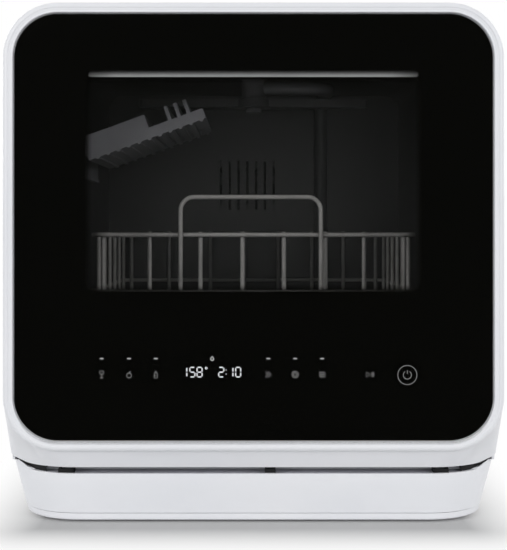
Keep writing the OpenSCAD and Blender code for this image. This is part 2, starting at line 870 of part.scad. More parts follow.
module tank_outline(i) {
    union() {
        rrect(-tank_hw + i, tank_right - i, 60 + i, tank_low_z1 - i, 10 - i);
        rrect(-tank_hw + i, tank_col_x - i, 60 + i, tub_top - 10 - i, 10 - i);
    }
}

module water_tank() {
    color([0.85, 0.87, 0.9]) difference() {
        along_y(tank_y0, tank_y1) tank_outline(0);
        along_y(tank_y0 + 2, tank_y1 - 2) tank_outline(2);
        rod_z(tub_top - 14, tub_top - 8, -fill_x, neck_y, neck_d + 2 * fit);
    }
}

module fill_neck() {
    z1 = body_h - shell_wall - 0.05;
    z0 = tub_top - 6;
    ear = lid_tab + 4;
    color(dark) difference() {
        union() {
            rod_z(z1 - 3, z1, -fill_x, fill_y, fill_d + 10);
            hull() {
                rod_z(z1 - 4, z1 - 2, -fill_x, fill_y, fill_d + 3);
                rod_z(z0 + 4, z0 + 6, -fill_x, neck_y, neck_d + 6);
            }
            rod_z(z0 - 10, z0 + 5, -fill_x, neck_y, neck_d);
            // Ears of the lid hinge
            block(-fill_x - ear, -fill_x + ear, lid_axis_y - 3, lid_axis_y + 3, z1 - 6, lid_axis_z + 2.4);
            block(-fill_x - ear, -fill_x + ear, fill_y + fill_r - 6, lid_axis_y + 3, z1 - 9, z1 - 6);
        }
        hull() {
            rod_z(z1 - 4, z1 + 1, -fill_x, fill_y, fill_d - 3);
            rod_z(z0 + 4, z0 + 6, -fill_x, neck_y, neck_d);
        }
        rod_z(z0 - 11, z0 + 5, -fill_x, neck_y, neck_d - 4);
        // Slot for the lid's tab, with the pin left standing in it
        difference() {
            block(-fill_x - lid_tab - 0.5, -fill_x + lid_tab + 0.5,
                  fill_y + fill_r - 3.5, lid_axis_y + 4, z1 - 4, body_h + 1);
            rod_x(-fill_x - lid_tab - 2, -fill_x + lid_tab + 2, lid_axis_y, lid_axis_z, lid_pin_d);
        }
    }
}

module fill_lid() {
    z0 = body_h - lid_t;
    color(white) difference() {
        union() {
            rod_z(z0, body_h, -fill_x, fill_y, fill_d);
            difference() {
                rod_z(z0 - 4, z0 + 1, -fill_x, fill_y, fill_d - 4);
                rod_z(z0 - 5, z0, -fill_x, fill_y, fill_d - 8);
            }
            block(-fill_x - lid_tab, -fill_x + lid_tab, fill_y + fill_r - 3, lid_axis_y, z0, body_h);
            rod_x(-fill_x - lid_tab, -fill_x + lid_tab, lid_axis_y, lid_axis_z, 5.6);
        }
        rod_x(-fill_x - lid_tab - 1, -fill_x + lid_tab + 1, lid_axis_y, lid_axis_z, lid_pin_d + 2 * run_gap);
        // Finger scoop at the front edge
        translate([-fill_x, fill_y - fill_r - 4, body_h + 4]) sphere(d = 16);
    }
}

// ---------- fan and electrics ----------

module fan_housing() {
    cx = -vent_off;
    h = fan_r + fan_rim;
    color(dark) difference() {
        along_y(fan_y0, fan_y1) rrect(cx - h, cx + h, vent_z - h, vent_z + h, 5);
        difference() {
            rod_y(fan_y0 - 1, fan_y1 + 1, cx, vent_z, 2 * fan_r);
            rod_y(fan_y1 - 8, fan_y1 - 4, cx, vent_z, 34);
            for (a = [0, 90]) translate([cx, fan_y1 - 6, vent_z]) rotate([0, a + 45, 0])
                translate([-fan_r - 1, -2, -3]) cube([2 * fan_r + 2, 4, 6]);
        }
        rod_y(fan_y1 - 9, fan_y1 - 3, cx, vent_z, fan_shaft_d + 2 * run_gap);
    }
}

module fan_wheel() {
    y0 = fan_y0 + 4;
    color(grey) translate([-vent_off, 0, vent_z]) union() {
        rod_y(y0, y0 + 18, 0, 0, 32);
        rod_y(y0 + 10, fan_y1 - 3, 0, 0, fan_shaft_d);
        for (k = [0 : 6])
            rotate([0, k * 360 / 7, 0]) translate([0, y0 + 9, 15]) rotate([0, 0, 32])
                translate([-9, -1, 0]) cube([18, 2, fan_r - 17.5]);
    }
}

module main_board() {
    y1 = cab_back - 4;
    color([0.1, 0.35, 0.2]) union() {
        block(board_x, board_x + board_w, y1 - 1.6, y1, board_z0, board_z1);
        // Relay, choke and capacitor
        block(board_x + 8, board_x + 36, y1 - 26, y1 - 1, board_z0 + 12, board_z0 + 50);
        block(board_x + 50, board_x + 84, y1 - 20, y1 - 1, board_z1 - 60, board_z1 - 30);
        rod_y(y1 - 30, y1 - 1, board_x + 68, board_z0 + 32, 22);
        for (z = [board_z0 + 8, board_z1 - 8], x = [board_x + 6, board_x + board_w - 6])
            rod_y(y1 - 1, back - shell_wall - 0.05, x, z, 6);
    }
}

// Rounded plate of the inlet, grown by i and drawn from y0 to y1
module inlet_plate(i, y0, y1) {
    along_y(y0, y1)
        rrect(inlet_x - inlet_hw - i, inlet_x + inlet_hw + i,
              inlet_z - inlet_hh - i, inlet_z + inlet_hh + i, 3);
}

module power_inlet() {
    y1 = back - shell_wall - face_gap;
    color(dark) difference() {
        union() {
            inlet_plate(8, y1 - 3, y1);
            inlet_plate(0, y1 - 8, back - 0.5);
        }
        inlet_plate(-4, y1 - 6, back + 1);
    }
}

module lock_housing() {
    y0 = flange_y - 9;
    z1 = body_h - shell_wall - 0.05;
    z0 = strike_z - 5;
    color(dark) difference() {
        block(-16, 16, y0, flange_y - 0.05, z0, z1);
        block(-9, 9, y0 - 1, flange_y - 1.5, strike_z - 2, strike_z + 6);
        rod_z(z0 - 1, z1 - 2, 0, bolt_y, bolt_d + 2 * run_gap);
    }
}

module lock_bolt() {
    color(steel) rod_z(strike_z + 6.2, strike_z + 6.2 + bolt_drop, 0, bolt_y, bolt_d);
}

// ---------- hinges ----------

module hinge_arm(s) {
    x0 = s * hinge_x - arm_w / 2;
    foot_z0 = arm_post_z + 0.05;
    color(steel) difference() {
        along_x(x0, x0 + arm_w) union() {
            translate([hinge_y, hinge_z]) circle(d = pin_d + 5);
            translate([hinge_y, hinge_z - arm_h / 2]) square([arm_foot_y + arm_foot / 2 - hinge_y, arm_h]);
            translate([arm_foot_y, foot_z0]) square([arm_foot, hinge_z + arm_h / 2 - foot_z0]);
        }
        rod_x(x0 - 1, x0 + arm_w + 1, hinge_y, hinge_z, pin_d + 2 * run_gap);
    }
}

module hinge_arms() for (s = [-1, 1]) hinge_arm(s);

module hinge_pins() {
    color(steel) for (s = [-1, 1])
        rod_x(s * hinge_x - arm_slot - block_w, s * hinge_x + arm_slot + block_w, hinge_y, hinge_z, pin_d);
}

module hinge_blocks() {
    color(steel) for (s = [-1, 1], t = [-1, 1]) {
        x = s * hinge_x + t * block_x;
        difference() {
            along_x(x - block_w / 2, x + block_w / 2) union() {
                translate([hinge_y, hinge_z]) circle(d = pin_d + 8);
                translate([hinge_y - 6.5, hinge_z]) square([door_back - hinge_y + 6.5, block_h]);
            }
            rod_x(x - block_w, x + block_w, hinge_y, hinge_z, pin_d + 0.02);
        }
    }
}

// ---------- folding shelf ----------

module shelf_bracket() {
    wall_x = -tub_w / 2 + face_gap;
    y0 = shelf_y0 - 8;
    y1 = shelf_y0 + shelf_d + 8;
    color(grey) union() {
        block(wall_x, wall_x + 2, y0, y1, shelf_z - 26, shelf_z + 8);
        for (y = [y0, y1 - 6])
            along_y(y, y + 6) union() {
                translate([shelf_x, shelf_z]) circle(r = shelf_lug);
                translate([wall_x, shelf_z - shelf_lug]) square([shelf_x - wall_x, 2 * shelf_lug]);
            }
        rod_y(y0 + 1, y1 - 1, shelf_x, shelf_z, shelf_pin);
        // Stop under the shelf
        block(wall_x, wall_x + 5, y0 + 12, y1 - 12, shelf_z - 26, shelf_z - 23);
    }
}

module cup_shelf() {
    step_u = 58;
    thin = 9.5;
    u0 = 7;
    v0 = -14;
    color(grey) translate([shelf_x, shelf_y0 + shelf_d, shelf_z]) rotate([0, -shelf_tilt, 0])
        rotate([90, 0, 0]) difference() {
            linear_extrude(shelf_d) union() {
                circle(r = shelf_lug);
                translate([-1, -shelf_lug]) square([u0 + 2, 2 * shelf_lug]);
                translate([u0 - 3, v0]) square([step_u + 3, shelf_t]);
                translate([u0, v0]) square([shelf_l, thin]);
                for (k = [0 : 2])
                    translate([u0 + 77 + k * 9, v0]) square([3.4, thin + 13]);
                for (k = [0 : floor(shelf_l / 10) - 1])
                    translate([u0 + 4 + k * 10, v0 - 1.5]) square([3, 2]);
            }
            translate([0, 0, -1]) cylinder(h = shelf_d + 2, d = shelf_pin + 2 * run_gap);
            // Troughs for the handles of cutlery
            for (k = [0 : 3])
                translate([u0 + 7 + k * 12.5, v0 + 4, 10]) cube([8, shelf_t, shelf_d - 20]);
            for (k = [0 : 4])
                translate([u0 + 60 + k * 9.5, v0 - 3, 12]) cube([3, thin - 2, shelf_d - 24]);
        }
}

// ---------- door ----------

// Rim and body outlines of the door, shrunk all round by i
module door_ring(i) {
    rrect(-side + i, side - i, hinge_z + i, body_h - i, body_r - i);
}

module door_solid(i) {
    hull() {
        for (a = [0, 30, 60, 90])
            along_y(front + rim_round * (1 - cos(a)) + i, front + rim_round * (1 - cos(a)) + i + 0.3)
                door_ring(i + rim_round * (1 - sin(a)));
        along_y(door_back - 0.5, door_back) arch(side - i, hinge_z + i, body_h - i, body_r - i, 8);
        along_y(door_back - 3, door_back - 2.5) arch(side - i, hinge_z - 7 + i, body_h - i, body_r - i, 8);
        along_z(door_bottom + i, door_bottom + i + 0.5) intersection() {
            base_plan(side - 1 - i, base_front - 2.5 + i, back, plan_r - i, 10);
            translate([-side, base_front - 10]) square([2 * side, hinge_y + 16 - i - base_front + 10]);
        }
    }
}

// Outline of the front glass, grown by i
module glass_outline(i) {
    rrect(-glass_hw - i, glass_hw + i, glass_z0 - i, glass_z1 + i, glass_r + i);
}

module door_frame() {
    color(white) difference() {
        door_solid(0);
        difference() {
            door_solid(shell_wall);
            along_y(front, front + glass_t + 3.2) door_ring(0);
        }
        // Seat of the glass and the opening behind it
        along_y(front - 1, front + glass_t + 0.7) glass_outline(face_gap);
        along_y(front, front + glass_t + 5) glass_outline(-5);
        // Open back for the lining
        along_y(door_back - 1, door_back + 1)
            arch(side - shell_wall, hinge_z + shell_wall, body_h - shell_wall, body_r - shell_wall, 6);
        // Slots for the hinge arms, open to the back and to the slit
        for (s = [-1, 1])
            block(s * hinge_x - arm_slot, s * hinge_x + arm_slot,
                  hinge_y - 3.6, door_back + 1, door_bottom - 1, hinge_z + 9);
        // Relief around the knuckles of the hinge
        for (s = [-1, 1])
            block(s * hinge_x - arm_slot - block_w - 1, s * hinge_x + arm_slot + block_w + 1,
                  hinge_y - 7, door_back + 1, hinge_z - 7, hinge_z + block_h + 1);
    }
}

module door_glass() {
    y0 = front + 0.5;
    color([0.05, 0.05, 0.05, 0.6])
        along_y(y0, y0 + glass_t) glass_outline(0);
}

module window(extra) {
    rrect(-window_w / 2 - extra, window_w / 2 + extra, window_z - extra, window_z + window_h + extra,
          window_r + extra);
}

module glass_print() {
    y0 = front + 0.5 + glass_t + 0.05;
    color(dark) difference() {
        along_y(y0, y0 + 0.5) glass_outline(-6);
        along_y(y0 - 1, y0 + 2) window(0);
    }
}

module inner_glass() {
    y1 = panel_y + 2;
    color([0.8, 0.85, 0.85, 0.4]) along_y(y1 - inner_glass_t, y1) window(14);
}

module window_gasket() {
    y1 = panel_y + 2;
    color(dark) difference() {
        along_y(y1 - inner_glass_t - 3, y1 + 2) window(17.4);
        along_y(y1 - inner_glass_t, y1 + 5) window(14.1);
        along_y(y1 - inner_glass_t - 5, y1 + 5) window(9);
    }
}

module plateau(extra) {
    r = mouth_r - 4 - extra;
    arch(tub_w / 2 - plateau_in - extra, mouth_z + plateau_in + extra, tub_top - plateau_in - extra, r, r);
}

// Place of the dispenser in the lining, grown by i
module dispenser_place(i, top) {
    rrect(-dispenser_hw - i, dispenser_hw + i, dispenser_z0 - i, dispenser_z1 + top, 4);
}

module door_panel() {
    color(grey) difference() {
        union() {
            along_y(door_back + 0.05, panel_y)
                arch(side - panel_in, hinge_z + panel_in - 1, body_h - panel_in, body_r - panel_in, 8);
            along_y(door_back - 6, plateau_y) plateau(0);
        }
        difference() {
            along_y(door_back - 7, plateau_y - 2.5) plateau(2.5);
            // Walls of the window and of the dispenser
            along_y(door_back - 8, plateau_y) window(21);
            along_y(door_back - 8, plateau_y) dispenser_place(3, 5.5);
        }
        along_y(door_back - 10, plateau_y + 1) window(17.6);
        along_y(door_back - 10, plateau_y + 1) dispenser_place(fit, fit);
        block(-10, 10, door_back - 1, panel_y + 1, strike_z - 4, strike_z + 4);
    }
}

module display_module() {
    y0 = front + 0.5 + glass_t + 0.8;
    color([0.05, 0.12, 0.08]) union() {
        block(key_x[0] - 22, power_x + 21, y0 + 4, y0 + 5.6, display_z - 16, display_z + 22);
        // Light box of the digits, of each key and of the power key
        block(-60, -6, y0, y0 + 5, display_z - 7, display_z + 8);
        for (x = key_x) block(x - 4, x + 4, y0, y0 + 5, display_z + 10, display_z + 15);
        rod_y(y0, y0 + 5, power_x, display_z - 1, 20);
    }
}

module dispenser_cup() {
    z0 = dispenser_z0 + 5;
    z1 = dispenser_z1 - 5;
    color(grey) difference() {
        along_y(door_back - 9, plateau_y - 0.4) dispenser_place(0, 0);
        along_y(door_back - 7, plateau_y + 1) rrect(-dispenser_hw + 3, -1, z0, z1, 3);
        along_y(door_back - 2, plateau_y + 1) rrect(2, dispenser_hw - 3, z0, z1, 3);
    }
}

module dispenser_lid() {
    x = -dispenser_hw / 2;
    color(white) union() {
        along_y(plateau_y - 0.1, plateau_y + 1.6)
            rrect(-dispenser_hw + 1, -1, dispenser_z0 + 2, dispenser_z1 - 2, 3);
        // Finger bar
        along_y(plateau_y + 1, plateau_y + 2.6)
            rrect(x - 9, x + 9, dispenser_z - 12, dispenser_z - 8, 1.9);
    }
}

module lock_strike() {
    y0 = door_back - 8;
    color(steel) difference() {
        union() {
            block(-8, 8, y0, flange_y - 2.2, strike_z - 1, strike_z + 1);
            block(-8, 8, y0, y0 + 2, strike_z - 1, body_h - shell_wall - 0.1);
        }
        rod_z(strike_z - 2, strike_z + 2, 0, bolt_y, bolt_d + 1.2);
    }
}

// ---------- rack ----------

// Place of a wire that runs across the floor from side to side
function cross_y(k) = basket_y0 + 24 + k * (rack_d - 52) / (cross_wires - 1);

module basket_floor() {
    color(grey) union() {
        for (k = [0 : cross_wires - 1])
            rod_x(-basket_hw + floor_in, basket_hw - floor_in, cross_y(k), cross_z, wire_d);
        for (x = long_x) rod_y(basket_y0 + floor_in, basket_y1 - floor_in, x, long_z, wire_d);
    }
}

// One side: the loops with their corners, the upright wires, and the long wire at its foot
module basket_side() {
    top = rail_z + 2;
    axle_end = roller_x + roller_w / 2 + 0.5;
    x0 = basket_hw - loop_r;
    long = basket_hw - edge_wire_in;
    union() {
        for (z = loop_z) translate([0, 0, z])
            bent_rod([
                [x0 - 0.5, basket_y0], [basket_hw, basket_y0],
                [basket_hw, basket_y1], [x0 - 0.5, basket_y1]
            ], wire_d, loop_r);
        for (k = [0 : cross_wires - 1])
            rod_path_xz([
                [basket_hw - floor_in, cross_z], [basket_hw - wall_in, cross_z],
                [basket_hw - wall_in, top]
            ], cross_y(k), wire_d, wire_r);
        rod_path_yz([
            [basket_y0 + wall_in, top], [basket_y0 + wall_in, long_z],
            [basket_y1 - wall_in, long_z], [basket_y1 - wall_in, top]
        ], long, wire_d, wire_r);
        // Roller plate and its axles
        block(basket_hw - 1, basket_hw + 2, roller_y0 - 12, roller_y1 + 10, roller_z - 8, roller_z + 8);
        for (y = [roller_y0, roller_y1]) rod_x(basket_hw, axle_end, y, roller_z, axle_d);
    }
}

module basket_sides() color(grey) for (s = [0, 1]) mirror([s, 0, 0]) basket_side();

// One end: the straight middle of the loops and the upright wires
module basket_end() {
    x0 = basket_hw - loop_r - 0.5;
    union() {
        for (z = loop_z) rod_x(-x0, x0, basket_y0, z, wire_d);
        for (x = long_x)
            rod_path_yz([
                [basket_y0 + floor_in, long_z], [basket_y0 + wall_in, long_z],
                [basket_y0 + wall_in, rail_z + 3]
            ], x, wire_d, wire_r);
    }
}

module basket_ends() {
    color(grey) {
        basket_end();
        translate([0, basket_y0 + basket_y1, 0]) mirror([0, 1, 0]) basket_end();
    }
}

module rack_handle() {
    color(grey) rod_path_xz([
        [handle_x[0], rack_z + 16], [handle_x[0], handle_z],
        [handle_x[1], handle_z], [handle_x[1], rack_z + 16]
    ], rack_front - wire_d / 2 - 0.1, wire_d, wire_r);
}

module plate_tines() {
    z = rack_z + wire_d / 2 + wire_d + 0.1;
    color(grey) for (x = tine_x)
        union() {
            rod_y(rack_front + tine_in - 8, rack_back - tine_in + 8, x, z, wire_d);
            for (k = [0 : tines - 1])
                translate([x, rack_front + tine_in + k * tine_pitch, z]) rotate([0, -8, 0]) {
                    cylinder(h = tine_h, d = wire_d - 0.6);
                    translate([0, 0, tine_h]) sphere(d = wire_d - 0.6);
                }
        }
}

module roller(s, y) {
    x = s * roller_x;
    hw = roller_w / 2;
    color(white) difference() {
        rod_x(x - hw, x + hw, y, roller_z, roller_d);
        rod_x(x - hw - 1, x + hw + 1, y, roller_z, axle_d + 2 * run_gap);
        for (e = [-hw, hw]) rod_x(x + e - 1, x + e + 1, y, roller_z, axle_d + 6);
    }
}

module roller_front_left() roller(-1, roller_y0);
module roller_front_right() roller(1, roller_y0);
module roller_rear_left() roller(-1, roller_y1);
module roller_rear_right() roller(1, roller_y1);

cabinet_shell();
rear_cover();
base_shell();
base_tray();
feet();
toe_panel();
tub();
door_seal();
rack_rails();
vent_cover();
sump();
filter_plate();
filter_cup();
heater_ring();
float_guide();
float();
pump_housing();
pump_motor();
pump_rotor();
suction_pipe();
feed_pipe();
riser_pipe();
lower_spray_arm();
upper_spray_arm();
drain_pump();
drain_impeller();
drain_spigot();
water_tank();
fill_neck();
fill_lid();
fan_housing();
fan_wheel();
main_board();
power_inlet();
lock_housing();
lock_bolt();
hinge_arms();
shelf_bracket();
cup_shelf();
door_frame();
door_glass();
glass_print();
inner_glass();
window_gasket();
door_panel();
display_module();
dispenser_cup();
dispenser_lid();
lock_strike();
hinge_blocks();
hinge_pins();
basket_floor();
basket_sides();
basket_ends();
rack_handle();
plate_tines();
roller_front_left();
roller_front_right();
roller_rear_left();
roller_rear_right();
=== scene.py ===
"""Countertop dishwasher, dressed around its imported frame. Metres, Z up, the front faces -Y."""

import json
import math

import bpy
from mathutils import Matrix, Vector


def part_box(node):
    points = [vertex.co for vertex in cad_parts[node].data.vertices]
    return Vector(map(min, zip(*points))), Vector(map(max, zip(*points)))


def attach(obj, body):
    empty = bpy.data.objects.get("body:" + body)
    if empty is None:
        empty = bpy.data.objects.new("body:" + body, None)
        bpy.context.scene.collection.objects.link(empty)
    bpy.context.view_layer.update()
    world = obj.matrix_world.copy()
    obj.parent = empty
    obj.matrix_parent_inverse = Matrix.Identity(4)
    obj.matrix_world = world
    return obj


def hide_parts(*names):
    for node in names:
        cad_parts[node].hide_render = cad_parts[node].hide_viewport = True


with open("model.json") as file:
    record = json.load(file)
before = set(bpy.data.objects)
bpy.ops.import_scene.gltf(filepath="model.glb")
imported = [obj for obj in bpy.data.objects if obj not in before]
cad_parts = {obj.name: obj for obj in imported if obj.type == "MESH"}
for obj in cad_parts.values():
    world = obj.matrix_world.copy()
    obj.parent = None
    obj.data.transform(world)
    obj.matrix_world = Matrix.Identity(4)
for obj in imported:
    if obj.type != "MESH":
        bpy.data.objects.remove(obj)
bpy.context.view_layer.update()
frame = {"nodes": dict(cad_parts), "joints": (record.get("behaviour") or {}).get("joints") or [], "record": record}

# ---------- places, from the frame ----------

MM = 0.001


def corner(node, end, axis):
    """One coordinate of a node's box: end 0 is its low side and end 1 its high side."""
    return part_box(node)[end]["XYZ".index(axis)]


def joint_place(name):
    return Vector(next(j["pos_m"] for j in frame["joints"] if j["name"] == name))


FRONT = corner("door_frame", 0, "Y")
DOOR_BACK = corner("door_frame", 1, "Y")
DOOR_BOTTOM = corner("door_frame", 0, "Z")
SIDE = corner("cabinet_shell", 1, "X")
TOP = corner("cabinet_shell", 1, "Z")
CABINET_FRONT = corner("cabinet_shell", 0, "Y")
CABINET_BACK = corner("cabinet_shell", 1, "Y")
CHEEK_Z = corner("cabinet_shell", 0, "Z")
BACK = corner("rear_cover", 1, "Y")
HINGE = joint_place("door_hinge")
GLASS_SIDE = corner("door_glass", 1, "X")
GLASS_LOW = corner("door_glass", 0, "Z")
GLASS_HIGH = corner("door_glass", 1, "Z")
GLASS_FRONT = corner("door_glass", 0, "Y")

# Sizes that the frame's boxes don't give
BODY_R = 46 * MM
RIM_W = SIDE - GLASS_SIDE
GLASS_R = BODY_R - RIM_W
WALL = 2.5 * MM
WINDOW_SIDE = 141 * MM
WINDOW_LOW = 198 * MM
WINDOW_HIGH = 378 * MM
WINDOW_R = 10 * MM
STRIP_H = 4.8 * MM
PRINT_Y = GLASS_FRONT + 4.05 * MM
SYMBOL_Y = GLASS_FRONT + 3.55 * MM
ARM_X = corner("hinge_arms", 1, "X") - 4 * MM
ARM_ROOM = 5 * MM
BASE_TOP = 43 * MM
BASE_FRONT = FRONT + 14.5 * MM
BASE_WALL = 3 * MM
BASE_WAIST = 30 * MM
PLAN_R = 58 * MM
REAR_R = 14 * MM


# ---------- modelling ----------

NEAR = 1e-5
FRONT_STEPS = 20
REAR_STEPS = 10


def clear():
    """Nothing selected, object mode: where each new primitive starts."""
    if bpy.context.object and bpy.context.object.mode != "OBJECT":
        bpy.ops.object.mode_set(mode="OBJECT")
    bpy.ops.object.select_all(action="DESELECT")


def activate(piece):
    clear()
    piece.select_set(True)
    bpy.context.view_layer.objects.active = piece


def edit_all(piece):
    """Opens a piece in edit mode with all of it selected."""
    activate(piece)
    bpy.ops.object.mode_set(mode="EDIT")
    bpy.ops.mesh.select_all(action="SELECT")


def done():
    bpy.ops.object.mode_set(mode="OBJECT")


def face_outward():
    """Turns every face of the opened piece outward and leaves edit mode."""
    bpy.ops.mesh.select_all(action="SELECT")
    bpy.ops.mesh.normals_make_consistent(inside=False)
    done()


def settle(name, scale=(1, 1, 1)):
    """Names and scales the new primitive and puts its place into its mesh."""
    piece = bpy.context.object
    piece.scale = scale
    piece.name = name
    piece.data.name = name
    bpy.ops.object.transform_apply(location=True, rotation=True, scale=True)
    return piece


def block(name, x0, x1, y0, y1, z0, z1):
    clear()
    place = ((x0 + x1) / 2, (y0 + y1) / 2, (z0 + z1) / 2)
    bpy.ops.mesh.primitive_cube_add(size=1, location=place)
    return settle(name, (x1 - x0, y1 - y0, z1 - z0))


TURNS = {"X": (0, math.pi / 2, 0), "Y": (math.pi / 2, 0, 0), "Z": (0, 0, 0)}


def rod(name, axis, place, radius, length, sides=48):
    """Cylinder along an axis, its middle at place."""
    clear()
    bpy.ops.mesh.primitive_cylinder_add(vertices=sides, radius=radius, depth=length,
                                        location=place, rotation=TURNS[axis])
    return settle(name)


def pick(piece, kind, test):
    """Selects, in edit mode, the vertices, edges or faces whose corner points pass the test."""
    activate(piece)
    bpy.ops.object.mode_set(mode="EDIT")
    bpy.ops.mesh.select_mode(type=kind)
    bpy.ops.mesh.select_all(action="DESELECT")
    bpy.ops.object.mode_set(mode="OBJECT")
    mesh = piece.data
    if kind == "VERT":
        for vertex in mesh.vertices:
            vertex.select = test([vertex.co])
    else:
        for part in mesh.edges if kind == "EDGE" else mesh.polygons:
            part.select = test([mesh.vertices[i].co for i in part.vertices])
    bpy.ops.object.mode_set(mode="EDIT")


def along(axis):
    """Test for edges that run along an axis."""
    others = [i for i in range(3) if i != "XYZ".index(axis)]
    return lambda ends: all(abs(ends[0][i] - ends[1][i]) < 1e-6 for i in others)


def lies_at(axis, value):
    """Test for what lies wholly in the plane where axis has that value."""
    i = "XYZ".index(axis)
    return lambda ends: all(abs(p[i] - value) < NEAR for p in ends)


def either(*tests):
    return lambda ends: any(test(ends) for test in tests)


def bevel(piece, test, width, steps=4):
    pick(piece, "EDGE", test)
    bpy.ops.mesh.bevel(offset=width, offset_type="OFFSET", segments=steps, profile=0.5,
                       affect="EDGES", clamp_overlap=True)
    done()


def slab(name, x0, x1, y0, y1, z0, z1, axis, radius, steps=10, edge=0):
    """Block whose four edges along an axis are rounded, and whose rims get a small bevel."""
    piece = block(name, x0, x1, y0, y1, z0, z1)
    bevel(piece, along(axis), radius, steps)
    if edge:
        low, high = {"X": (x0, x1), "Y": (y0, y1), "Z": (z0, z1)}[axis]
        bevel(piece, either(lies_at(axis, low), lies_at(axis, high)), edge, 3)
    return piece


def apply(piece, kind, **settings):
    """Adds a modifier, sets it and applies it."""
    modifier = piece.modifiers.new(kind.lower(), kind)
    for key, value in settings.items():
        setattr(modifier, key, value)
    activate(piece)
    bpy.ops.object.modifier_apply(modifier=modifier.name)
    return piece


def combine(piece, tool, operation):
    apply(piece, "BOOLEAN", operation=operation, object=tool, solver="EXACT")
    bpy.data.objects.remove(tool)
    return piece


def cut(piece, tool):
    return combine(piece, tool, "DIFFERENCE")


def add(piece, tool):
    return combine(piece, tool, "UNION")


def join(name, pieces):
    """Several loose pieces as one object."""
    clear()
    for piece in pieces:
        piece.select_set(True)
    bpy.context.view_layer.objects.active = pieces[0]
    if len(pieces) > 1:
        bpy.ops.object.join()
    pieces[0].name = name
    pieces[0].data.name = name
    return pieces[0]


def outline(x0, x1, z0, z1, top_r, low_r, y, steps=20):
    """Upright sheet at y with one radius at its top corners and another at its bottom corners."""
    clear()
    middle = (z0 + z1) / 2
    bpy.ops.mesh.primitive_plane_add(size=1, location=((x0 + x1) / 2, y, middle),
                                     rotation=(math.pi / 2, 0, 0))
    sheet = settle("outline", (x1 - x0, z1 - z0, 1))
    low = z0 + NEAR
    high = z1 - NEAR
    round_corners(sheet, lambda p: p[0].z > high, top_r, steps)
    round_corners(sheet, lambda p: p[0].z < low, low_r, steps)
    return sheet


def round_corners(sheet, test, radius, steps):
    pick(sheet, "VERT", test)
    bpy.ops.mesh.bevel(offset=radius, offset_type="OFFSET", segments=steps, profile=0.5,
                       affect="VERTICES", clamp_overlap=True)
    done()


def plan(x, y0, y1, front_r, rear_r, z, cut_y=None):
    """Level sheet at z with round front corners and tighter rear corners, ending at cut_y."""
    clear()
    bpy.ops.mesh.primitive_plane_add(size=1, location=(0, (y0 + y1) / 2, z))
    sheet = settle("plan", (2 * x, y1 - y0, 1))
    front = y0 + NEAR
    rear = y1 - NEAR
    round_corners(sheet, lambda p: p[0].y < front, front_r, FRONT_STEPS)
    round_corners(sheet, lambda p: p[0].y > rear, rear_r, REAR_STEPS)
    if cut_y is not None:
        edit_all(sheet)
        bpy.ops.mesh.bisect(plane_co=(0, cut_y, z), plane_no=(0, 1, 0), clear_outer=True)
        done()
    return sheet


def hull(name, sheets):
    """Solid stretched over several sheets."""
    piece = join(name, sheets)
    edit_all(piece)
    bpy.ops.mesh.convex_hull()
    face_outward()
    return piece


def drawn_out(name, sheet, axis, length):
    """Solid between a flat sheet and its copy a length away along an axis."""
    sheet.name = name
    sheet.data.name = name
    edit_all(sheet)
    move = tuple(length if a == axis else 0 for a in "XYZ")
    bpy.ops.mesh.extrude_region_move(TRANSFORM_OT_translate={"value": move})
    face_outward()
    return sheet


def inset_steps(steps):
    """Insets the picked faces again and again: each step is how far in and how far out, in mm."""
    for inward, outward in steps:
        bpy.ops.mesh.inset(thickness=inward * MM, depth=outward * MM, use_even_offset=True)


def hand_over(piece, body, slot, finish, *nodes, angle=30):
    """Smooth shading, finish, body and the nodes that the piece stands for; the slot argument is not used."""
    activate(piece)
    bpy.ops.object.shade_smooth_by_angle(angle=math.radians(angle))
    piece.data.materials.clear()
    piece.data.materials.append(finish)
    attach(piece, body)
    if nodes:
        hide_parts(*nodes)


# ---------- shader expressions ----------

class Value:
    """A socket's value in an expression; its operators add Math nodes."""

    def __init__(self, shader, link):
        self.shader = shader
        self.link = link

    def math(self, operation, *others):
        return self.shader.add("ShaderNodeMath", {"operation": operation},
                               dict(enumerate((self,) + others)))

    def __add__(self, other):
        return self.math("ADD", other)

    def __radd__(self, other):
        return self.math("ADD", other)

    def __sub__(self, other):
        return self.math("SUBTRACT", other)

    def __rsub__(self, other):
        return (self * -1) + other

    def __mul__(self, other):
        return self.math("MULTIPLY", other)

    def __truediv__(self, other):
        return self.math("DIVIDE", other)


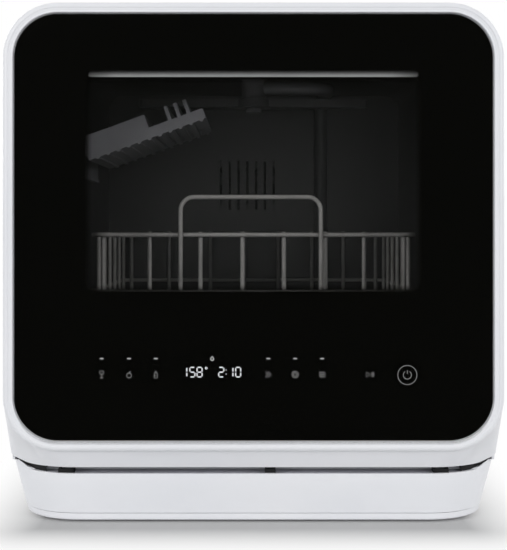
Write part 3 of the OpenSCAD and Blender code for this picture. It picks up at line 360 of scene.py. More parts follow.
class Shader:
    """One material and the nodes in it."""

    def __init__(self, name):
        self.material = bpy.data.materials.new(name)
        self.material.use_nodes = True
        self.nodes = self.material.node_tree.nodes
        self.links = self.material.node_tree.links
        self.nodes.clear()
        self.place = self.add("ShaderNodeTexCoord", output="Object")

    def add(self, kind, settings=None, sockets=None, output=0):
        """Adds a node: its settings first, then the values or links of its sockets."""
        node = self.nodes.new(kind)
        for key, value in (settings or {}).items():
            if key == "stops":
                ramp = node.color_ramp
                while len(ramp.elements) < len(value):
                    ramp.elements.new(0.5)
                for element, (position, colour) in zip(ramp.elements, value):
                    element.position = position
                    element.color = colour if isinstance(colour, tuple) else (colour,) * 3 + (1,)
            else:
                setattr(node, key, value)
        for key, value in (sockets or {}).items():
            if isinstance(value, Value):
                self.links.new(value.link, node.inputs[key])
            else:
                node.inputs[key].default_value = value
        return Value(self, node.outputs[output]) if len(node.outputs) else None

    def noise(self, scale, detail=2.0, rough=0.5, place=None):
        return self.add("ShaderNodeTexNoise", {}, {"Vector": place or self.place, "Scale": scale,
                                                   "Detail": detail, "Roughness": rough})

    def stretched(self, x, y, z):
        return self.add("ShaderNodeMapping", {}, {"Vector": self.place, "Scale": (x, y, z)})

    def ramp(self, value, stops):
        return self.add("ShaderNodeValToRGB", {"stops": stops}, {"Fac": value})

    def tones(self, value, low, high, one, other):
        """Fades from one colour to the other while value goes from low to high."""
        return self.mix(self.ramp(value, [(low, 0.0), (high, 1.0)]), rgb(*one), rgb(*other))

    def mix(self, factor, one, other):
        return self.add("ShaderNodeMix", {"data_type": "RGBA"}, {0: factor, 6: one, 7: other},
                        output=2)

    def bump(self, height, strength, distance=0.0002):
        return self.add("ShaderNodeBump", {}, {"Height": height, "Strength": strength,
                                               "Distance": distance})

    def axes(self):
        """The Object coordinates one by one."""
        node = self.nodes.new("ShaderNodeSeparateXYZ")
        self.links.new(self.place.link, node.inputs[0])
        return [Value(self, socket) for socket in node.outputs]

    def surface(self, **sockets):
        """Ends the material in a Principled shader; names are sockets with _ for a space."""
        node = self.add("ShaderNodeBsdfPrincipled", {},
                        {key.replace("_", " "): value for key, value in sockets.items()})
        self.add("ShaderNodeOutputMaterial", {}, {"Surface": node})
        return self.material


def rgb(r, g, b):
    return (r, g, b, 1.0)


# ---------- finishes ----------

def white_moulding():
    s = Shader("white_moulding")
    grain = s.noise(2600, 1.0)
    cloud = s.noise(9, 3.0, 0.55)
    colour = s.tones(cloud, 0.35, 0.7, (0.775, 0.785, 0.815), (0.81, 0.815, 0.84))
    return s.surface(Base_Color=colour, Roughness=0.3 + cloud * 0.1,
                     Normal=s.bump(grain, 0.05), Specular_IOR_Level=0.32)


def plain_moulding(name, colour, roughness=0.42, grain_scale=1800, grain_depth=0.12,
                   shift=0.14, specular=0.5):
    """Moulded plastic with a fine spark-eroded grain and slow changes of tone."""
    s = Shader(name)
    grain = s.noise(grain_scale, 2.0)
    cloud = s.noise(14, 4.0, 0.6)
    darker = [c * (1 - shift) for c in colour]
    lighter = [min(1, c * (1 + shift)) for c in colour]
    tone = s.tones(cloud, 0.3, 0.72, darker, lighter)
    return s.surface(Base_Color=tone, Roughness=(roughness - 0.06) + cloud * 0.12,
                     Normal=s.bump(grain, grain_depth), Specular_IOR_Level=specular)


def brushed(name, colour, x, y, z, roughness=0.28):
    """Metal with scratches drawn out along the axis that has the smallest scale."""
    s = Shader(name)
    lines = s.noise(60, 5.0, 0.7, s.stretched(x, y, z))
    blotch = s.noise(25, 3.0)
    tone = s.tones(lines, 0.3, 0.7, [c * 0.78 for c in colour], colour)
    return s.surface(Base_Color=tone, Metallic=1.0,
                     Roughness=(roughness - 0.08) + lines * 0.14 + blotch * 0.08,
                     Normal=s.bump(lines, 0.06, 0.0001))


def coated_wire():
    s = Shader("coated_wire_finish")
    grain = s.noise(900, 3.0)
    cloud = s.noise(60, 3.0)
    tone = s.tones(cloud, 0.3, 0.7, (0.37, 0.36, 0.345), (0.5, 0.49, 0.47))
    return s.surface(Base_Color=tone, Roughness=0.3 + cloud * 0.15, Normal=s.bump(grain, 0.08))


def pane_glass(name, colour, alpha, specular):
    """Toughened glass: a faint roll wave, and a film of haze that never quite wipes off."""
    s = Shader(name)
    wave = s.noise(6, 1.0)
    haze = s.noise(30, 4.0, 0.65)
    return s.surface(Base_Color=rgb(*colour), Alpha=alpha, Roughness=0.02 + haze * 0.05,
                     Normal=s.bump(wave, 0.02, 0.002), Specular_IOR_Level=specular)


def fired_print():
    s = Shader("fired_print")
    speck = s.noise(700, 3.0)
    tone = s.tones(speck, 0.4, 0.8, (0.0007, 0.0007, 0.0006), (0.0013, 0.0013, 0.0011))
    return s.surface(Base_Color=tone, Roughness=0.55 + speck * 0.1, Specular_IOR_Level=0.01)


MASK = rgb(0.02, 0.02, 0.02)


def lit_symbol(name, colour, strength):
    """Light through a printed mask; the light box behind it is a little uneven."""
    s = Shader(name)
    patch = s.noise(900, 2.0)
    glow = s.tones(patch, 0.25, 0.75, [c * 0.82 for c in colour], colour)
    return s.surface(Base_Color=MASK, Emission_Color=glow,
                     Emission_Strength=strength, Roughness=0.5 + patch * 0.1)


def painted_highlight_strip():
    """Painted highlight: a glow that stands in for daylight caught by the top edge of the inner pane; it fades at
    the ends.
    """
    s = Shader("painted_highlight_strip")
    x, _, z = s.axes()
    patch = s.noise(40, 2.0)
    painted_light_fade = s.ramp(x.math("ABSOLUTE") / WINDOW_SIDE, [(0.82, 1.0), (0.97, 0.25)])
    rise = s.ramp((z - WINDOW_HIGH) / STRIP_H, [(0.0, 1.0), (1.0, 0.45)])
    glow = s.mix(painted_light_fade * rise * (0.85 + patch * 0.3), rgb(0, 0, 0), rgb(0.36, 0.37, 0.37))
    return s.surface(Base_Color=MASK, Emission_Color=glow, Emission_Strength=1.0,
                     Roughness=0.5 + patch * 0.1)


def milky_tank():
    s = Shader("milky_tank")
    cloud = s.noise(18, 4.0)
    skin = s.noise(240, 3.0)
    tone = s.tones(cloud, 0.3, 0.7, (0.62, 0.66, 0.7), (0.74, 0.77, 0.8))
    return s.surface(Base_Color=tone, Roughness=0.38 + cloud * 0.15, Alpha=0.9,
                     Normal=s.bump(skin, 0.15))


def dust_gauze():
    """Woven black gauze."""
    s = Shader("dust_gauze")
    x, _, z = s.axes()
    weave = (x * 5200).math("SINE") * (z * 5200).math("SINE")
    tone = s.tones(weave, 0.3, 0.6, (0.02, 0.02, 0.021), (0.004, 0.004, 0.004))
    return s.surface(Base_Color=tone, Roughness=0.6 + s.noise(300) * 0.1,
                     Normal=s.bump(weave, 0.3))


def rubber():
    s = Shader("seal_rubber")
    bloom = s.noise(45, 5.0, 0.7)
    pores = s.noise(1500, 2.0)
    tone = s.tones(bloom, 0.35, 0.8, (0.012, 0.012, 0.013), (0.03, 0.03, 0.032))
    return s.surface(Base_Color=tone, Roughness=0.68 + bloom * 0.2, Normal=s.bump(pores, 0.2))


def circuit_board():
    s = Shader("solder_mask")
    x, _, z = s.axes()
    tracks = (x * 900).math("SINE") * (z * 1300).math("SINE")
    copper = s.ramp(tracks + s.noise(60, 2.0) * 0.8, [(0.62, 0.0), (0.66, 1.0)])
    tone = s.mix(copper, rgb(0.006, 0.06, 0.025), rgb(0.02, 0.16, 0.06))
    return s.surface(Base_Color=tone, Roughness=0.3 + s.noise(200) * 0.15)


WHITE = white_moulding()
TUB = plain_moulding("tub_moulding", (0.04, 0.04, 0.043), 0.36, 1500, 0.1)
LINING = plain_moulding("lining_moulding", (0.09, 0.09, 0.095), 0.4, 1500, 0.1)
SHELF = plain_moulding("shelf_moulding", (0.34, 0.34, 0.36), 0.4, 1500, 0.1)
DECK = plain_moulding("deck_moulding", (0.8, 0.8, 0.86), 0.5, 1500, 0.1, 0.06)
GREY = plain_moulding("grey_moulding", (0.19, 0.19, 0.195), 0.42, 1600, 0.12)
DARK_GREY = plain_moulding("dark_grey_moulding", (0.06, 0.06, 0.062), 0.45, 1600, 0.12)
BLACK = plain_moulding("black_moulding", (0.012, 0.012, 0.013), 0.55, 1400, 0.15, specular=0.15)
NYLON = plain_moulding("white_nylon", (0.66, 0.66, 0.65), 0.48, 900, 0.1, 0.05)
WIRE = coated_wire()
STEEL = brushed("bright_steel", (0.62, 0.63, 0.64), 1, 12, 12)
RAIL_STEEL = brushed("rail_steel", (0.55, 0.56, 0.57), 14, 1, 14)
HEATER_STEEL = brushed("heater_steel", (0.42, 0.38, 0.34), 6, 6, 6, 0.36)
FRONT_GLASS = pane_glass("front_glass", (0.0045, 0.0045, 0.003), 0.14, 0.035)
INNER_GLASS = pane_glass("inner_glass_pane", (0.05, 0.055, 0.055), 0.06, 0.3)
PRINT = fired_print()
DIGITS = lit_symbol("lit_digits", (0.95, 0.96, 1.0), 1.15)
MARKS = lit_symbol("lit_marks", (0.62, 0.62, 0.62), 1.0)
LABELS = lit_symbol("lit_labels", (0.38, 0.38, 0.38), 1.0)
PAINTED_HIGHLIGHT = painted_highlight_strip()
TANK = milky_tank()
RUBBER = rubber()
GAUZE = dust_gauze()
BOARD = circuit_board()

SLOT_FINISHES = {
    "white_plastic": WHITE, "white_nylon": NYLON, "tank_plastic": TANK, "black_rubber": RUBBER,
    "tub_plastic": TUB, "grey_plastic": GREY, "black_plastic": BLACK, "coated_wire": WIRE,
    "steel": STEEL, "front_glass": FRONT_GLASS, "inner_pane": INNER_GLASS, "black_print": PRINT,
    "circuit_board": BOARD,
}
OWN_FINISHES = {"heater_ring": HEATER_STEEL, "upper_spray_arm": DARK_GREY, "door_panel": LINING,
                "dispenser_cup": LINING, "rack_rails": RAIL_STEEL,
                "cup_shelf": SHELF, "shelf_bracket": SHELF}


def finish_nodes():
    """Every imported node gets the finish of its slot, or its own."""
    for part in frame["record"]["subparts"]:
        name = part["node"]
        node = frame["nodes"][name]
        node.data.materials.clear()
        node.data.materials.append(OWN_FINISHES.get(name, SLOT_FINISHES[part["material_slot"]]))


# ---------- door ----------

RIM_ROUND = 4.0
SEAT_EDGE = 0.15
SEAT_DEPTH = 4.2
HOLLOW_START = 6.5 * MM
CORNER_DROP = 11 * MM
CORNER_R = 5 * MM
TAIL_R = 8 * MM
SLOT_AHEAD = 3.6 * MM
SLOT_ABOVE = 9 * MM
DOOR_PLAN_FRONT = BASE_FRONT - 2.5 * MM
DOOR_TAIL = HINGE.y + 16 * MM


def door_hull(name, i, y_front, y_back):
    """Body of the door, shrunk all round by i, between y_front and y_back."""
    z0, z1 = HINGE.z + i, TOP - i
    x, r = SIDE - i, BODY_R - i
    return hull(name, [
        outline(-x, x, z0, z1, r, r, y_front),
        outline(-x, x, z0 - CORNER_DROP, z1, r, CORNER_R, DOOR_BACK - 3 * MM),
        outline(-x, x, z0, z1, r, TAIL_R, y_back),
        plan(SIDE - MM - i, DOOR_PLAN_FRONT + i, BACK, PLAN_R - i, 10 * MM, DOOR_BOTTOM + i,
             cut_y=DOOR_TAIL - i),
    ])


def rim_steps():
    """From the rim's side, round its edge, over a lower ledge and a bead, to the glass seat."""
    angles = [math.radians(15 * k) for k in range(7)]
    spots = [(RIM_ROUND * (1 - math.cos(a)), RIM_ROUND * math.sin(a)) for a in angles]
    rounding = [(b[0] - a[0], b[1] - a[1]) for a, b in zip(spots, spots[1:])]
    ledge = [(0.35, -0.1), (0.25, -0.3), (0.3, -0.1), (2.3, -0.2)]
    bead = [(0.2, 0.12), (0.25, 0.08), (0.35, 0.0), (0.25, -0.08), (0.2, -0.12)]
    return rounding + ledge + bead


def door_shell():
    start_y = FRONT + RIM_ROUND * MM
    shell = door_hull("door_shell", 0, start_y, DOOR_BACK)
    cut(shell, door_hull("hollow", WALL, start_y + HOLLOW_START, DOOR_BACK + MM))
    for x in (-ARM_X, ARM_X):
        cut(shell, block("slot", x - ARM_ROOM, x + ARM_ROOM, HINGE.y - SLOT_AHEAD, DOOR_BACK + MM,
                         DOOR_BOTTOM - MM, HINGE.z + SLOT_ABOVE))
    pick(shell, "FACE", lies_at("Y", start_y))
    bpy.ops.mesh.dissolve_faces()
    steps = rim_steps()
    inset_steps(steps)
    left = RIM_W / MM - sum(s[0] for s in steps) - SEAT_EDGE
    inset_steps([(SEAT_EDGE, -0.3), (left, -SEAT_DEPTH)])
    done()
    gap = 5 * MM
    cut(shell, slab("opening", -GLASS_SIDE + gap, GLASS_SIDE - gap, FRONT - gap, FRONT + 15 * MM,
                    GLASS_LOW + gap, GLASS_HIGH - gap, "Y", GLASS_R - gap, 16))
    hand_over(shell, "door", "white_plastic", WHITE, "door_frame", angle=35)


def front_pane():
    pane = slab("front_pane", -GLASS_SIDE, GLASS_SIDE, GLASS_FRONT, GLASS_FRONT + 3.2 * MM,
                GLASS_LOW, GLASS_HIGH, "Y", GLASS_R, 24, 0.5 * MM)
    hand_over(pane, "door", "front_glass", FRONT_GLASS, "door_glass")


def print_mask():
    gap = 0.4 * MM
    mask = slab("print_mask", -GLASS_SIDE + gap, GLASS_SIDE - gap, PRINT_Y, PRINT_Y + 0.5 * MM,
                GLASS_LOW + gap, GLASS_HIGH - gap, "Y", GLASS_R - gap, 24)
    cut(mask, slab("window", -WINDOW_SIDE, WINDOW_SIDE, PRINT_Y - MM, PRINT_Y + 2 * MM,
                   WINDOW_LOW, WINDOW_HIGH, "Y", WINDOW_R, 12))
    hand_over(mask, "door", "black_print", PRINT, "glass_print")


DOT_PITCH = 1.667 * MM
DOT_ROWS = 6
TOP_DOT_ROWS = 6


def dot_row(x, z, radius, count, step, y=PRINT_Y - 0.15 * MM):
    """Row of printed dots from (x, z), each a step on from the last."""
    dot = rod("dots", "Y", (x, y, z), radius, 0.08 * MM, 6)
    return apply(dot, "ARRAY", count=count, use_relative_offset=False, use_constant_offset=True,
                 constant_offset_displace=step)


def window_dots():
    """Staggered dots that fade the print out into the window."""
    rows = []
    width, height = 2 * WINDOW_SIDE, WINDOW_HIGH - WINDOW_LOW
    for k in range(DOT_ROWS):
        inward = (0.3 + 0.5 * k) * DOT_PITCH
        radius = (0.74 - 0.085 * k) * MM
        shift = DOT_PITCH / 2 * (k % 2)
        in_row = round(width / DOT_PITCH)
        in_column = round(height / DOT_PITCH) - 4
        for z in (WINDOW_HIGH - inward, WINDOW_LOW + inward):
            rows.append(dot_row(-WINDOW_SIDE + shift, z, radius, in_row, (DOT_PITCH, 0, 0)))
        for x in (-WINDOW_SIDE + inward, WINDOW_SIDE - inward):
            rows.append(dot_row(x, WINDOW_LOW + 3 * DOT_PITCH + shift, radius, in_column,
                                (0, 0, DOT_PITCH)))
    for k in range(TOP_DOT_ROWS):
        rows.append(dot_row(-WINDOW_SIDE + DOT_PITCH / 2 * (k % 2),
                            WINDOW_HIGH + (0.5 + 0.83 * k) * MM, (0.3 + 0.085 * k) * MM,
                            round(width / DOT_PITCH), (DOT_PITCH, 0, 0), PRINT_Y - 0.6 * MM))
    hand_over(join("window_dots", rows), "door", "black_print", PRINT)


# ---------- symbols behind the glass ----------

# Photograph's pixels on the plane of the front, and the rows that the symbols stand in
PX = 1 / 1.198 * MM
PHOTO_X0 = 253.5
PHOTO_Y0 = 522.5
PHOTO_Z0 = 5.2 * MM
MARK_ROW = 359
ICON_ROW = 375
DIGIT_ROW = 377.4
KEYS = [101, 128.5, 155.4, 268.4, 295.4, 322.5]
START_KEY = 370.5
POWER_KEY = 408, 375.5


def across(px):
    return (px - PHOTO_X0) * PX


def up(py):
    return (PHOTO_Y0 - py) * PX + PHOTO_Z0


def stroke(points, width, closed=False):
    """Flat line through points (x, z), as a thin mesh behind the glass."""
    clear()
    curve = bpy.data.curves.new("stroke", "CURVE")
    curve.dimensions = "3D"
    curve.bevel_depth = width / 2
    curve.bevel_resolution = 2
    curve.use_fill_caps = True
    line = curve.splines.new("POLY")
    line.points.add(len(points) - 1)
    line.use_cyclic_u = closed
    for spot, (x, z) in zip(line.points, points):
        spot.co = (x, 0, z, 1)
    piece = bpy.data.objects.new("stroke", curve)
    bpy.context.scene.collection.objects.link(piece)
    activate(piece)
    bpy.ops.object.convert(target="MESH")
    piece.scale = (1, 0.12, 1)
    piece.location = (0, SYMBOL_Y, 0)
    bpy.ops.object.transform_apply(location=True, rotation=True, scale=True)
    return piece


def arc(x, z, radius, start=0, end=360, steps=40):
    angles = [math.radians(start + (end - start) * k / steps) for k in range(steps + 1)]
    return [(x + radius * math.cos(a), z + radius * math.sin(a)) for a in angles]


def at(x, z, points, size=MM):
    return [(x + a * size, z + b * size) for a, b in points]


# Segments of a digit, each from one corner to the next on a 1 x 2 grid
SEGMENTS = {"a": ((0, 2), (1, 2)), "b": ((1, 2), (1, 1)), "c": ((1, 1), (1, 0)),
            "d": ((0, 0), (1, 0)), "e": ((0, 1), (0, 0)), "f": ((0, 2), (0, 1)),
            "g": ((0, 1), (1, 1))}
LIT = {"0": "abcdef", "1": "bc", "2": "abged", "5": "afgcd", "8": "abcdefg"}
DIGIT_W = 4.2 * MM
DIGIT_H = 8.0 * MM
DIGIT_LINE = 1.0 * MM
DIGITS_SHOWN = (("1", 181.5), ("5", 189.6), ("8", 196.8), ("2", 218.6), ("1", 227.8), ("0", 235.6))


def digit(sign, px, parts):
    x0, z0 = across(px), up(DIGIT_ROW)
    for name in LIT[sign]:
        (a, b), (c, d) = SEGMENTS[name]
        gap = 0.13
        a, c = (a + gap, c - gap) if a < c else (a, c)
        b, d = (b - gap, d + gap) if b > d else (b, d)
        ends = [(x0 + DIGIT_W * u, z0 + DIGIT_H / 2 * v) for u, v in ((a, b), (c, d))]
        parts.append(stroke(ends, DIGIT_LINE))


def display_digits():
    parts = []
    for sign, px in DIGITS_SHOWN:
        digit(sign, px, parts)
    parts.append(stroke(arc(across(206), up(368.6), 0.8 * MM, steps=16), 0.6 * MM, True))
    for py in (370.5, 374.5):
        parts.append(stroke(at(across(226), up(py), [(-0.3, 0), (0.3, 0)]), DIGIT_LINE))
    hand_over(join("display_digits", parts), "door", "circuit_board", DIGITS)


def key_marks():
    dash = [(-1.6, 0), (1.6, 0)]
    parts = [stroke(at(across(px), up(MARK_ROW), dash), 1.0 * MM) for px in KEYS]
    drop = [(0, 1.9), (1.1, 0.2), (1.2, -0.7), (0.7, -1.4), (0, -1.6), (-0.7, -1.4), (-1.2, -0.7),
            (-1.1, 0.2)]
    parts.append(stroke(at(across(212), up(MARK_ROW), drop), 0.9 * MM, True))
    hand_over(join("key_marks", parts), "door", "circuit_board", MARKS)


ICON_LINE = 0.4 * MM
POWER_LINE = 0.5 * MM


def icon(px, *lines):
    spot = across(px), up(ICON_ROW)
    return [stroke(at(*spot, points), ICON_LINE, closed) for points, closed in lines]


def circle_mm(x, z, r):
    return [(x + r * math.cos(k * math.pi / 12), z + r * math.sin(k * math.pi / 12))
            for k in range(24)]


def wave_mm(z):
    return [(-2.6 + 0.2 * k, z + 0.45 * math.sin(k * 0.48)) for k in range(27)]


def key_icons():
    """Generic signs under the keys: goblet, fruit, bottle, chevrons, plate, breeze, start."""
    bowl = [(-1.7, 2.9), (-1.7, 1.5), (-1.1, 0.4), (0, 0), (1.1, 0.4), (1.7, 1.5), (1.7, 2.9)]
    bottle = [(-1.3, -2.9), (1.3, -2.9), (1.3, 0.7), (0.8, 1.4), (-0.8, 1.4), (-1.3, 0.7)]
    parts = icon(KEYS[0], (bowl, True), ([(0, 0), (0, -2.8)], False),
                 ([(-1.4, -2.9), (1.4, -2.9)], False))
    parts += icon(KEYS[1], (circle_mm(0, -0.8, 2.0), True),
                  ([(0, 1.2), (0.4, 2.1), (1.5, 2.7)], False))
    parts += icon(KEYS[2], (bottle, True), ([(-0.6, 1.5), (0, 3.0), (0.6, 1.5)], False),
                  ([(-1.2, -1.0), (0.2, -1.0)], False))
    for shift in (-1.3, 1.1):
        chevron = [(shift - 1.1, 2.4), (shift + 1.1, 0), (shift - 1.1, -2.4)]
        parts += icon(KEYS[3], (chevron, False))
    parts += icon(KEYS[4], (circle_mm(0, 0, 2.7), True), (circle_mm(0, 0, 1.5), True))
    parts += icon(KEYS[5], *[(wave_mm(z), False) for z in (-1.7, 0, 1.7)])
    parts += icon(START_KEY, ([(-3.2, 2.2), (0.2, 0), (-3.2, -2.2)], True),
                  *[([(x, 2.1), (x, -2.1)], False) for x in (1.7, 3.1)])
    centre = across(POWER_KEY[0]), up(POWER_KEY[1])
    parts.append(stroke(arc(*centre, 8.0 * MM, steps=64), 0.45 * MM, True))
    parts.append(stroke(arc(*centre, 3.4 * MM, 122, 418, 36), POWER_LINE))
    parts.append(stroke(at(*centre, [(0, 0.8), (0, 4.0)]), POWER_LINE))
    hand_over(join("key_icons", parts), "door", "circuit_board", LABELS)


def painted_highlight_sheet():
    """Pale strip behind the dots along the top of the window: a painted highlight that glows in place of daylight
    caught by the inner pane's top edge.
    """
    x = WINDOW_SIDE - 3 * MM
    strip = slab("window_top_painted_highlight", -x, x, PRINT_Y - 0.45 * MM, PRINT_Y - 0.3 * MM,
                 WINDOW_HIGH - 0.2 * MM, WINDOW_HIGH + STRIP_H, "Y", 1.8 * MM, 6)
    hand_over(strip, "door", "black_print", PAINTED_HIGHLIGHT)


# ---------- cabinet ----------

EDGE_R = 0.8 * MM
LOW_CORNER_R = 1.5 * MM
LID_GAP = 0.5 * MM
TAB_ROOM = 13 * MM


def body_prism(name, i, low_z, low_r, y0, y1):
    """Length of the body's outline, shrunk all round by i."""
    x = SIDE - i
    sheet = outline(-x, x, low_z, TOP - i, BODY_R - i, low_r, y0, 28)
    return drawn_out(name, sheet, "Y", y1 - y0)


def cabinet_cover():
    """Cabinet shell with softened mouth and rear edges, open where the fill lid sits."""
    cover = body_prism("cabinet_cover", 0, CHEEK_Z, LOW_CORNER_R, CABINET_FRONT, CABINET_BACK)
    bevel(cover, either(lies_at("Y", CABINET_FRONT), lies_at("Y", CABINET_BACK)), EDGE_R, 3)
    cut(cover, body_prism("room", WALL, CHEEK_Z - 10 * MM, MM, CABINET_FRONT - MM,
                          CABINET_BACK + MM))
    low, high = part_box("fill_lid")
    lid_x = (low.x + high.x) / 2
    lid_r = (high.x - low.x) / 2
    lid_y = low.y + lid_r
    hinge = joint_place("fill_lid_hinge")
    cut(cover, rod("fill_hole", "Z", (lid_x, lid_y, TOP), lid_r + LID_GAP, 40 * MM, 96))
    cut(cover, block("tab_room", lid_x - TAB_ROOM, lid_x + TAB_ROOM, lid_y, hinge.y + 5 * MM,
                     TOP - 8 * MM, TOP + MM))
    hand_over(cover, "cabinet", "white_plastic", WHITE, "cabinet_shell")


def base_sheets(i, low_z, cheeks):
    """Sheets of the base's bowl or of its rear cheeks, shrunk all round by i."""
    if cheeks:
        top = plan(SIDE - i, CABINET_FRONT + i, BACK - i, REAR_R - 2 * MM, REAR_R - 2 * MM,
                   CHEEK_Z - 0.2 * MM - i)
    else:
        top = plan(SIDE - 2 * MM - i, BASE_FRONT + i, BACK - i, PLAN_R - i, REAR_R, BASE_TOP)
    return [
        top,
        plan(SIDE - 2.5 * MM - i, BASE_FRONT + 0.5 * MM + i, BACK - i, PLAN_R - i, REAR_R,
             BASE_WAIST),
        plan(SIDE - 7 * MM - i, BASE_FRONT + 5 * MM + i, BACK - 4 * MM - i, PLAN_R - 4 * MM - i,
             REAR_R - 2 * MM, low_z),
    ]


# Outline of the dark wedge in which the slit ends at each front corner, in mm from the middle; black plates fill
# it as painted shade
WEDGE = [(178, 41), (188, 42), (196, 44.5), (202.5, 48.5), (207, 53.5), (208.2, 56), (200, 56),
         (178, 50)]


def wedge(name, side, low, y, depth):
    """Slit's corner shape on one side, no part of it under low, drawn back from y."""
    clear()
    bpy.ops.mesh.primitive_plane_add(size=1)
    sheet = settle(name)
    corners = [(side * x * MM, y, max(z * MM, low)) for x, z in WEDGE]
    sheet.data.clear_geometry()
    sheet.data.from_pydata(corners, [], [list(range(len(corners)))])
    return drawn_out(name, sheet, "Y", depth)


WEDGE_DEPTH = 11.7 * MM
SEAM_ROOM = 3.5 * MM


def base_cover():
    """Base shell: a round-fronted bowl with cheeks that come up to the cabinet behind the slit."""
    seam_z = corner("base_shell", 0, "Z")
    cover = hull("base_cover", base_sheets(0, seam_z, False))
    add(cover, hull("cheeks", base_sheets(0, seam_z, True)))
    for name, cheeks in (("bowl_room", False), ("cheek_room", True)):
        cut(cover, hull(name, base_sheets(BASE_WALL, seam_z - SEAM_ROOM, cheeks)))
    x = SIDE - WALL - 6 * MM
    cut(cover, block("open_top", -x, x, CABINET_FRONT + 12 * MM, BACK - 12 * MM,
                     BASE_TOP - 10 * MM, CHEEK_Z + 5 * MM))
    for x in (-ARM_X, ARM_X):
        cut(cover, block("arm_way", x - ARM_ROOM, x + ARM_ROOM, CABINET_FRONT - 2 * MM,
                         CABINET_FRONT + 20 * MM, BASE_TOP - 6 * MM, CHEEK_Z + 5 * MM))
    # Room in the white cover for the black plates of painted shade at the slit's ends
    for s in (-1, 1):
        cut(cover, wedge("slit_end", s, BASE_TOP + 0.2 * MM, CABINET_FRONT - 0.3 * MM - WEDGE_DEPTH,
                         WEDGE_DEPTH))
    hand_over(cover, "cabinet", "white_plastic", WHITE, "base_shell")


DECK_DOWN = 1.2 * MM
DECK_T = 2 * MM


def base_deck():
    """Grey deck under the slit, with a rib along it and ways for the hinge arms."""
    top = BASE_TOP - DECK_DOWN
    y0, y1 = BASE_FRONT + 2.5 * MM, CABINET_FRONT + 14 * MM
    deck = plan(SIDE - 4.5 * MM, BASE_FRONT + 2.6 * MM, BACK, PLAN_R - 2.6 * MM, REAR_R,
                top - DECK_T, cut_y=y1)
    drawn_out("base_deck", deck, "Z", DECK_T)
    x = SIDE - 70 * MM
    add(deck, block("rib", -x, x, y1 - 7 * MM, y1 - 5 * MM, top - MM, top + 2 * MM))
    for x in (-ARM_X, ARM_X):
        cut(deck, block("arm_way", x - ARM_ROOM, x + ARM_ROOM, y0 - MM, y1 + MM, top - 4 * MM,
                        top + 4 * MM))
    hand_over(deck, "cabinet", "grey_plastic", DECK)


LINER_WALL = 1.2 * MM
LINER_UP = 3.4 * MM
STOP_SPAN = 9.6 * MM, 18.8 * MM


def shade_liners_and_stop():
    """Black liners that the hinge arms come up through, their black painted shade for the dark slit around the
    arms, and a stop for the door's lower edge.
    """
    top = BASE_TOP + LINER_UP
    parts = [slab("stop", *STOP_SPAN, BASE_FRONT + 3 * MM, BASE_FRONT + 12 * MM,
                  BASE_TOP - 2 * MM, top, "X", MM, 3)]
    for x in (-ARM_X, ARM_X):
        half = ARM_ROOM + LINER_WALL
        shade_liner = block("shade_liner", x - half, x + half, BASE_FRONT + 4 * MM, CABINET_FRONT - MM,
                      top - 6 * MM, top)
        cut(shade_liner, block("way", x - ARM_ROOM, x + ARM_ROOM, BASE_FRONT + 4 * MM + LINER_WALL,
                         CABINET_FRONT + 13 * MM, top - 6 * MM, top + MM))
        parts.append(shade_liner)
    hand_over(join("shade_liners_and_stop", parts), "cabinet", "black_plastic", BLACK)


RING_IN = 3.2 * MM
RING_T = 1.6 * MM
RING_HALF_H = 4 * MM


def painted_shade_slit_ends():
    """Black strips that close the slit around both front corners: painted shade where the slit falls dark there.
    """
    low, high = BASE_TOP - RING_HALF_H, BASE_TOP + RING_HALF_H
    rings = []
    for t in (0, RING_T):
        i = RING_IN + t
        sheet = plan(SIDE - 2 * MM - i, BASE_FRONT + i, BACK, PLAN_R - i, REAR_R, low,
                     cut_y=CABINET_FRONT - 1.5 * MM + t)
        rings.append(drawn_out("ring", sheet, "Z", high - low))
    ends = cut(rings[0], rings[1])
    x = SIDE - 32 * MM
    cut(ends, block("middle", -x, x, FRONT, CABINET_FRONT, low - MM, high + MM))
    # Black plates in the wedges: painted shade where the slit ends
    shade_plates = [wedge("wedge", s, 0, CABINET_FRONT - 0.8 * MM, 0.5 * MM) for s in (-1, 1)]
    hand_over(join("painted_shade_slit_ends", [ends, *shade_plates]), "cabinet", "black_plastic", BLACK)


PAN_REAR_R = 11 * MM


def base_pan():
    """Shallow tray that closes the base, with a turned-up lip that leaves a fine seam."""
    top = corner("base_shell", 0, "Z") - 0.5 * MM
    low = corner("base_tray", 0, "Z")
    pan = hull("base_pan", [
        plan(SIDE - 7.8 * MM, BASE_FRONT + 5.6 * MM, BACK - 5 * MM, PLAN_R - 5 * MM, PAN_REAR_R,
             top),
        plan(SIDE - 8.8 * MM, BASE_FRONT + 5.8 * MM, BACK - 6 * MM, PLAN_R - 6 * MM, PAN_REAR_R,
             low + 1.4 * MM),
        plan(SIDE - 10 * MM, BASE_FRONT + 6.8 * MM, BACK - 8 * MM, PLAN_R - 7 * MM, PAN_REAR_R,
             low + 0.3 * MM),
        plan(SIDE - 12 * MM, BASE_FRONT + 8 * MM, BACK - 10 * MM, PLAN_R - 9 * MM, PAN_REAR_R, low),
    ])
    hand_over(pan, "cabinet", "white_plastic", WHITE, "base_tray")


SLOT_W = 4 * MM
FAN_SLOT = 68 * MM
BOARD_SLOT = 50 * MM
REAR_EDGE_R = 2.5 * MM
HOSE_BAY_R = 21 * MM
WELL_R = 4.2 * MM
SCREW_R = 3.4 * MM


def rear_slot(x, z0, z1):
    return slab("slot", x - SLOT_W / 2, x + SLOT_W / 2, BACK - 8 * MM, BACK + MM, z0, z1, "Y",
                SLOT_W / 2 - 0.1 * MM, 4)


def screw_spots():
    """Where the rear screws stand: three up each side and two along the top."""
    x, low, high = SIDE - 9 * MM, CHEEK_Z + 30 * MM, TOP - 62 * MM
    middle = (low + high) / 2
    return [(s * x, z) for s in (-1, 1) for z in (low, middle, high)] + \
        [(s * 70 * MM, TOP - 9 * MM) for s in (-1, 1)]


